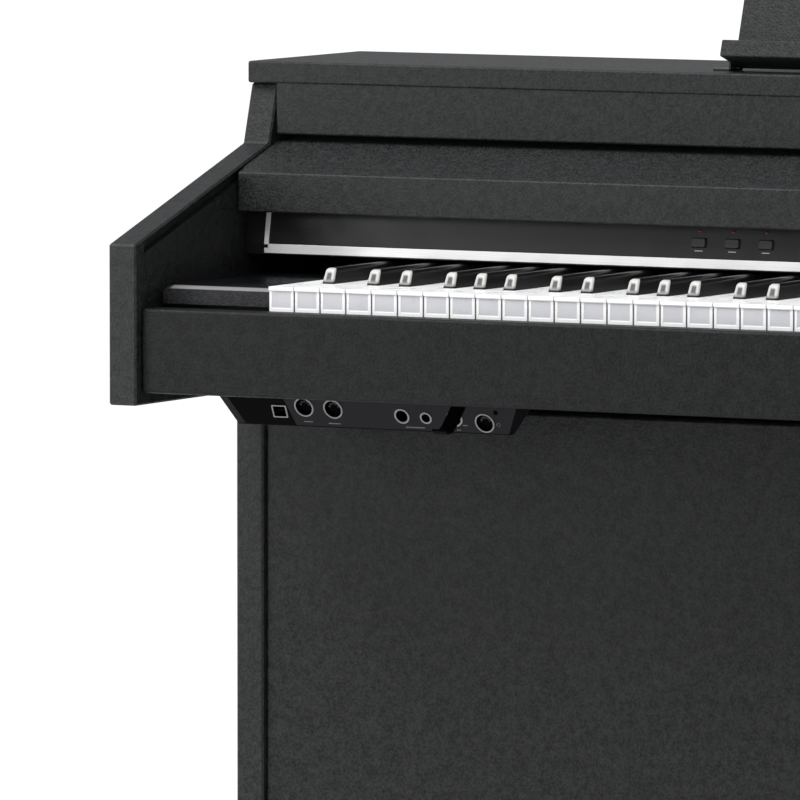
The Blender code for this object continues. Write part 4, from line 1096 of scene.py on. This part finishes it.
# Near-black for the painted shadow sheet and strip, and the black screw's own colour.
shadow_and_screw_black = moulded(
    "shadow_and_screw_black", MOUTH_AND_SHADOW_DARK, (0.0012, 0.0012, 0.0014), 1900.0, 0.00002, (0.35, 0.45), 0.03
)
socket_grey = moulded("socket_grey", (0.22, 0.22, 0.23), (0.34, 0.34, 0.35), 2200.0, 0.00003, (0.3, 0.4), 0.4)
mouth_black = moulded("mouth_black", MOUTH_AND_SHADOW_DARK, (0.0014, 0.0014, 0.0016), 2200.0, 0.00003, (0.5, 0.6), 0.02)

JACK_BACK = 0.0158
JACK_DOWN = 0.0344
JACK_TILT = math.atan2(JACK_BACK, JACK_DOWN)
JACK_DEEP = JACK_DOWN / math.cos(JACK_TILT)
JACK_TAPER = 0.0185
DOWN = np.array([0, math.sin(JACK_TILT), -math.cos(JACK_TILT)])
OUT = np.array([0, -math.cos(JACK_TILT), -math.sin(JACK_TILT)])
plate_low, plate_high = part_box("jack_panel")
jack_width = plate_high.x - plate_low.x
jack_corner = np.array([plate_low.x, plate_low.y, plate_high.z])


def on_jack(shape, across, down):
    """A shape set on the tilted plate, at distances across and down from its upper left corner."""
    return placed(shape, jack_corner + (across, 0, 0) + DOWN * down, (1, 0, 0), -DOWN, OUT)


def flat_ring(inner, outer, proud, sunk=0.0004, sides=40):
    """A turned band: up its outer wall, over two softened corners, and down its inner wall."""
    soft = min((outer - inner) * 0.3, 0.0003)
    profile = [(outer, -sunk), (outer, proud - soft), (outer - soft, proud)]
    profile += [(inner + soft, proud), (inner, proud - soft), (inner, -sunk)]
    return turned(profile, sides, True)


MIDDLE = 0.0002  # a turned shape's smallest radius, where one face closes it
MOUTH_WALL = 0.0014
MOUTH_LIP = 0.0004
MOUTH_FLOOR = 0.001


def mouth(radius, depth):
    """A cup: its outer wall, its lip, its inner wall and its floor, turned in one row."""
    under = -depth - MOUTH_FLOOR
    outer = radius + MOUTH_WALL
    profile = [(MIDDLE, under), (outer, under), (outer, MOUTH_LIP), (radius, MOUTH_LIP), (radius, -depth)]
    return turned([*profile, (MIDDLE, -depth)], 32)


contact_metal = speckled("contact_metal", 2500.0, (0.05, 0.048, 0.042), (0.10, 0.095, 0.085),
    Metallic=1.0, Roughness=0.3)
ROUND_SOCKETS = {  # across, down, mouth radius, ring radius, pins
    "midi_in_socket": (0.0831, 0.0197, 0.0074, 0.0087, 5),
    "midi_out_socket": (0.1098, 0.0204, 0.0074, 0.0087, 5),
    "line_out_right_socket": (0.1724, 0.0242, 0.0053, 0.0068, 0),
    "line_out_left_socket": (0.1942, 0.0250, 0.0038, 0.0053, 0),
    "headphone_socket": (0.2205, 0.0244, 0.0057, 0.0072, 0),
    "pedal_socket": (0.2474, 0.0274, 0.0074, 0.0087, 6),
}
SOCKET_DEEP = 0.0065
PLUG_GAP = 0.0011  # between the mouth's wall and the block that holds the pins
PLUG_DEEP = 0.0025
PIN_CIRCLE = 0.55
PIN_RING = ((0.00085, -0.0030), (0.00085, -0.0021), (0.00055, -0.0021), (0.00055, -0.0030))
SPRING_RING = ((0.0003, -0.0060), (0.0003, -0.0045), (0.0010, -0.0045), (0.0010, -0.0060))
for name, (across, down, inner, outer, pins) in ROUND_SOCKETS.items():
    ring = on_jack(flat_ring(inner, outer, 0.0008), across, down)
    piece(f"{name}_ring", [ring], socket_grey)
    insides = [on_jack(mouth(inner - 0.0001, SOCKET_DEEP), across, down)]
    if pins:
        plug_radius = inner - PLUG_GAP
        plug = turned([(plug_radius, -SOCKET_DEEP), (plug_radius, -PLUG_DEEP), (0.0003, -PLUG_DEEP)], 32)
        notch = pad(0.0022, 0.0012, 0.0003, -SOCKET_DEEP, -0.0004, 0.0002)
        insides += [on_jack(plug, across, down), on_jack(notch, across, down + inner - 0.0010)]
        turns = np.linspace(0.1 * math.pi, 0.9 * math.pi, pins)
        spots = np.column_stack([np.cos(turns), -np.sin(turns)]) * inner * PIN_CIRCLE
        contacts = [on_jack(turned(PIN_RING, 12, True), across + x, down + y) for x, y in spots]
    else:
        spring = turned([(inner - inset, height) for inset, height in SPRING_RING], 24, True)
        contacts = [on_jack(spring, across, down)]
    piece(f"{name}_mouth", insides, mouth_black, [name])
    piece(f"{name}_contacts", contacts, contact_metal)

USB_PLACE = (0.0598, 0.0244)


def square_tube(outer, inner, sunk, proud):
    """Rounded rectangles in a loop: out along the outer one, over the lip, and back along the inner one."""
    flats = [rounded_rectangle(*size, 0.0006, 3) for size in (outer, outer, inner, inner)]
    rings = [at_height(flat, at) for flat, at in zip(flats, (sunk, proud, proud, sunk))]
    return loft(rings, True)


usb_ring = on_jack(square_tube((0.0134, 0.0112), (0.0114, 0.0093), -0.0003, 0.0008), *USB_PLACE)
piece("usb_socket_ring", [usb_ring], socket_grey)
usb_wall = square_tube((0.0118, 0.0104), (0.0092, 0.0084), -0.011, MOUTH_LIP)
usb_floor = pad(0.0117, 0.0103, 0.0006, -0.0118, -0.0108, 0.0001)
usb_tongue = pad(0.0052, 0.0030, 0.0003, -0.011, -0.0016, 0.0002)
usb_insides = [on_jack(shape, *USB_PLACE) for shape in (usb_wall, usb_floor, usb_tongue)]
piece("usb_socket_mouth", usb_insides, mouth_black, ["usb_socket"])

# A dark sheet over the plate's left part, round the USB socket, and a dark strip along its lower edge are
# painted shadow.
SHADOW_SHEET_IN = 0.0004
SHADOW_SHEET_PROUD = 0.00025
HOLE_HALF = (0.0070, 0.0059)
EDGE_SHADOW = 0.0006
shadow_sheet_foot = JACK_DEEP - SHADOW_SHEET_IN
shadow_sheet_heights = (-SHADOW_SHEET_IN, -SHADOW_SHEET_IN, -shadow_sheet_foot, -shadow_sheet_foot)
shadow_sheet_outer = np.column_stack([(0.0072, 0.0605, 0.0722, 0.0255), shadow_sheet_heights])
hole_middle = np.array([USB_PLACE[0], -USB_PLACE[1]])
shadow_sheet_inner = hole_middle + np.array([(-1, 1), (1, 1), (1, -1), (-1, -1)]) * HOLE_HALF
shadow_sheet_flats = (shadow_sheet_outer, shadow_sheet_outer, shadow_sheet_inner, shadow_sheet_inner)
shadow_sheet_levels = zip(shadow_sheet_flats, (-0.0001, SHADOW_SHEET_PROUD, SHADOW_SHEET_PROUD, -0.0001))
shadow_sheet = on_jack(loft([at_height(flat, out) for flat, out in shadow_sheet_levels], True), 0.0, 0.0)
lower_edge_shadow = printed_bar(jack_width - 2 * JACK_TAPER, EDGE_SHADOW)
edge_shadow = on_jack(lower_edge_shadow, jack_width / 2, JACK_DEEP - EDGE_SHADOW)
piece("painted_shadow_sheet", [shadow_sheet, edge_shadow], shadow_and_screw_black)

MARKS = (  # across, down, width, height
    (0.0842, 0.0331, 0.0084, 0.0009),
    (0.1085, 0.0339, 0.0112, 0.0009),
    (0.1825, 0.0343, 0.0176, 0.0009),
    (0.2291, 0.0304, 0.0046, 0.0008),
    (0.2222, 0.0349, 0.0037, 0.0008),
)
jack_print = Finish("jack_print", Roughness=0.5)
print_grain = jack_print.noise(jack_print.place(), 1400.0).stretch(0.4, 0.6)
jack_print.wear(Base_Color=jack_print.mix(print_grain, (0.05, 0.05, 0.055), (0.20, 0.20, 0.21)))
marks = [on_jack(printed_bar(width, height), across, down) for across, down, width, height in MARKS]
marks.append(on_jack(flat_ring(0.0012, 0.0018, 0.0001, 0.0002, 24), 0.2596, 0.0286))
piece("jack_marks", marks, jack_print)
jack_screw = screw(jack_corner + (0.2592, 0, 0) + DOWN * 0.0176, OUT, 0.0019)
piece("jack_screw", [jack_screw], shadow_and_screw_black)

hook_paint = moulded(
    "hook_paint", (0.0010, 0.0010, 0.0012), (0.0030, 0.0030, 0.0034), 1600.0, 0.00004, (0.4, 0.5), 0.12
)
dress(hook_paint, "headphone_hook")
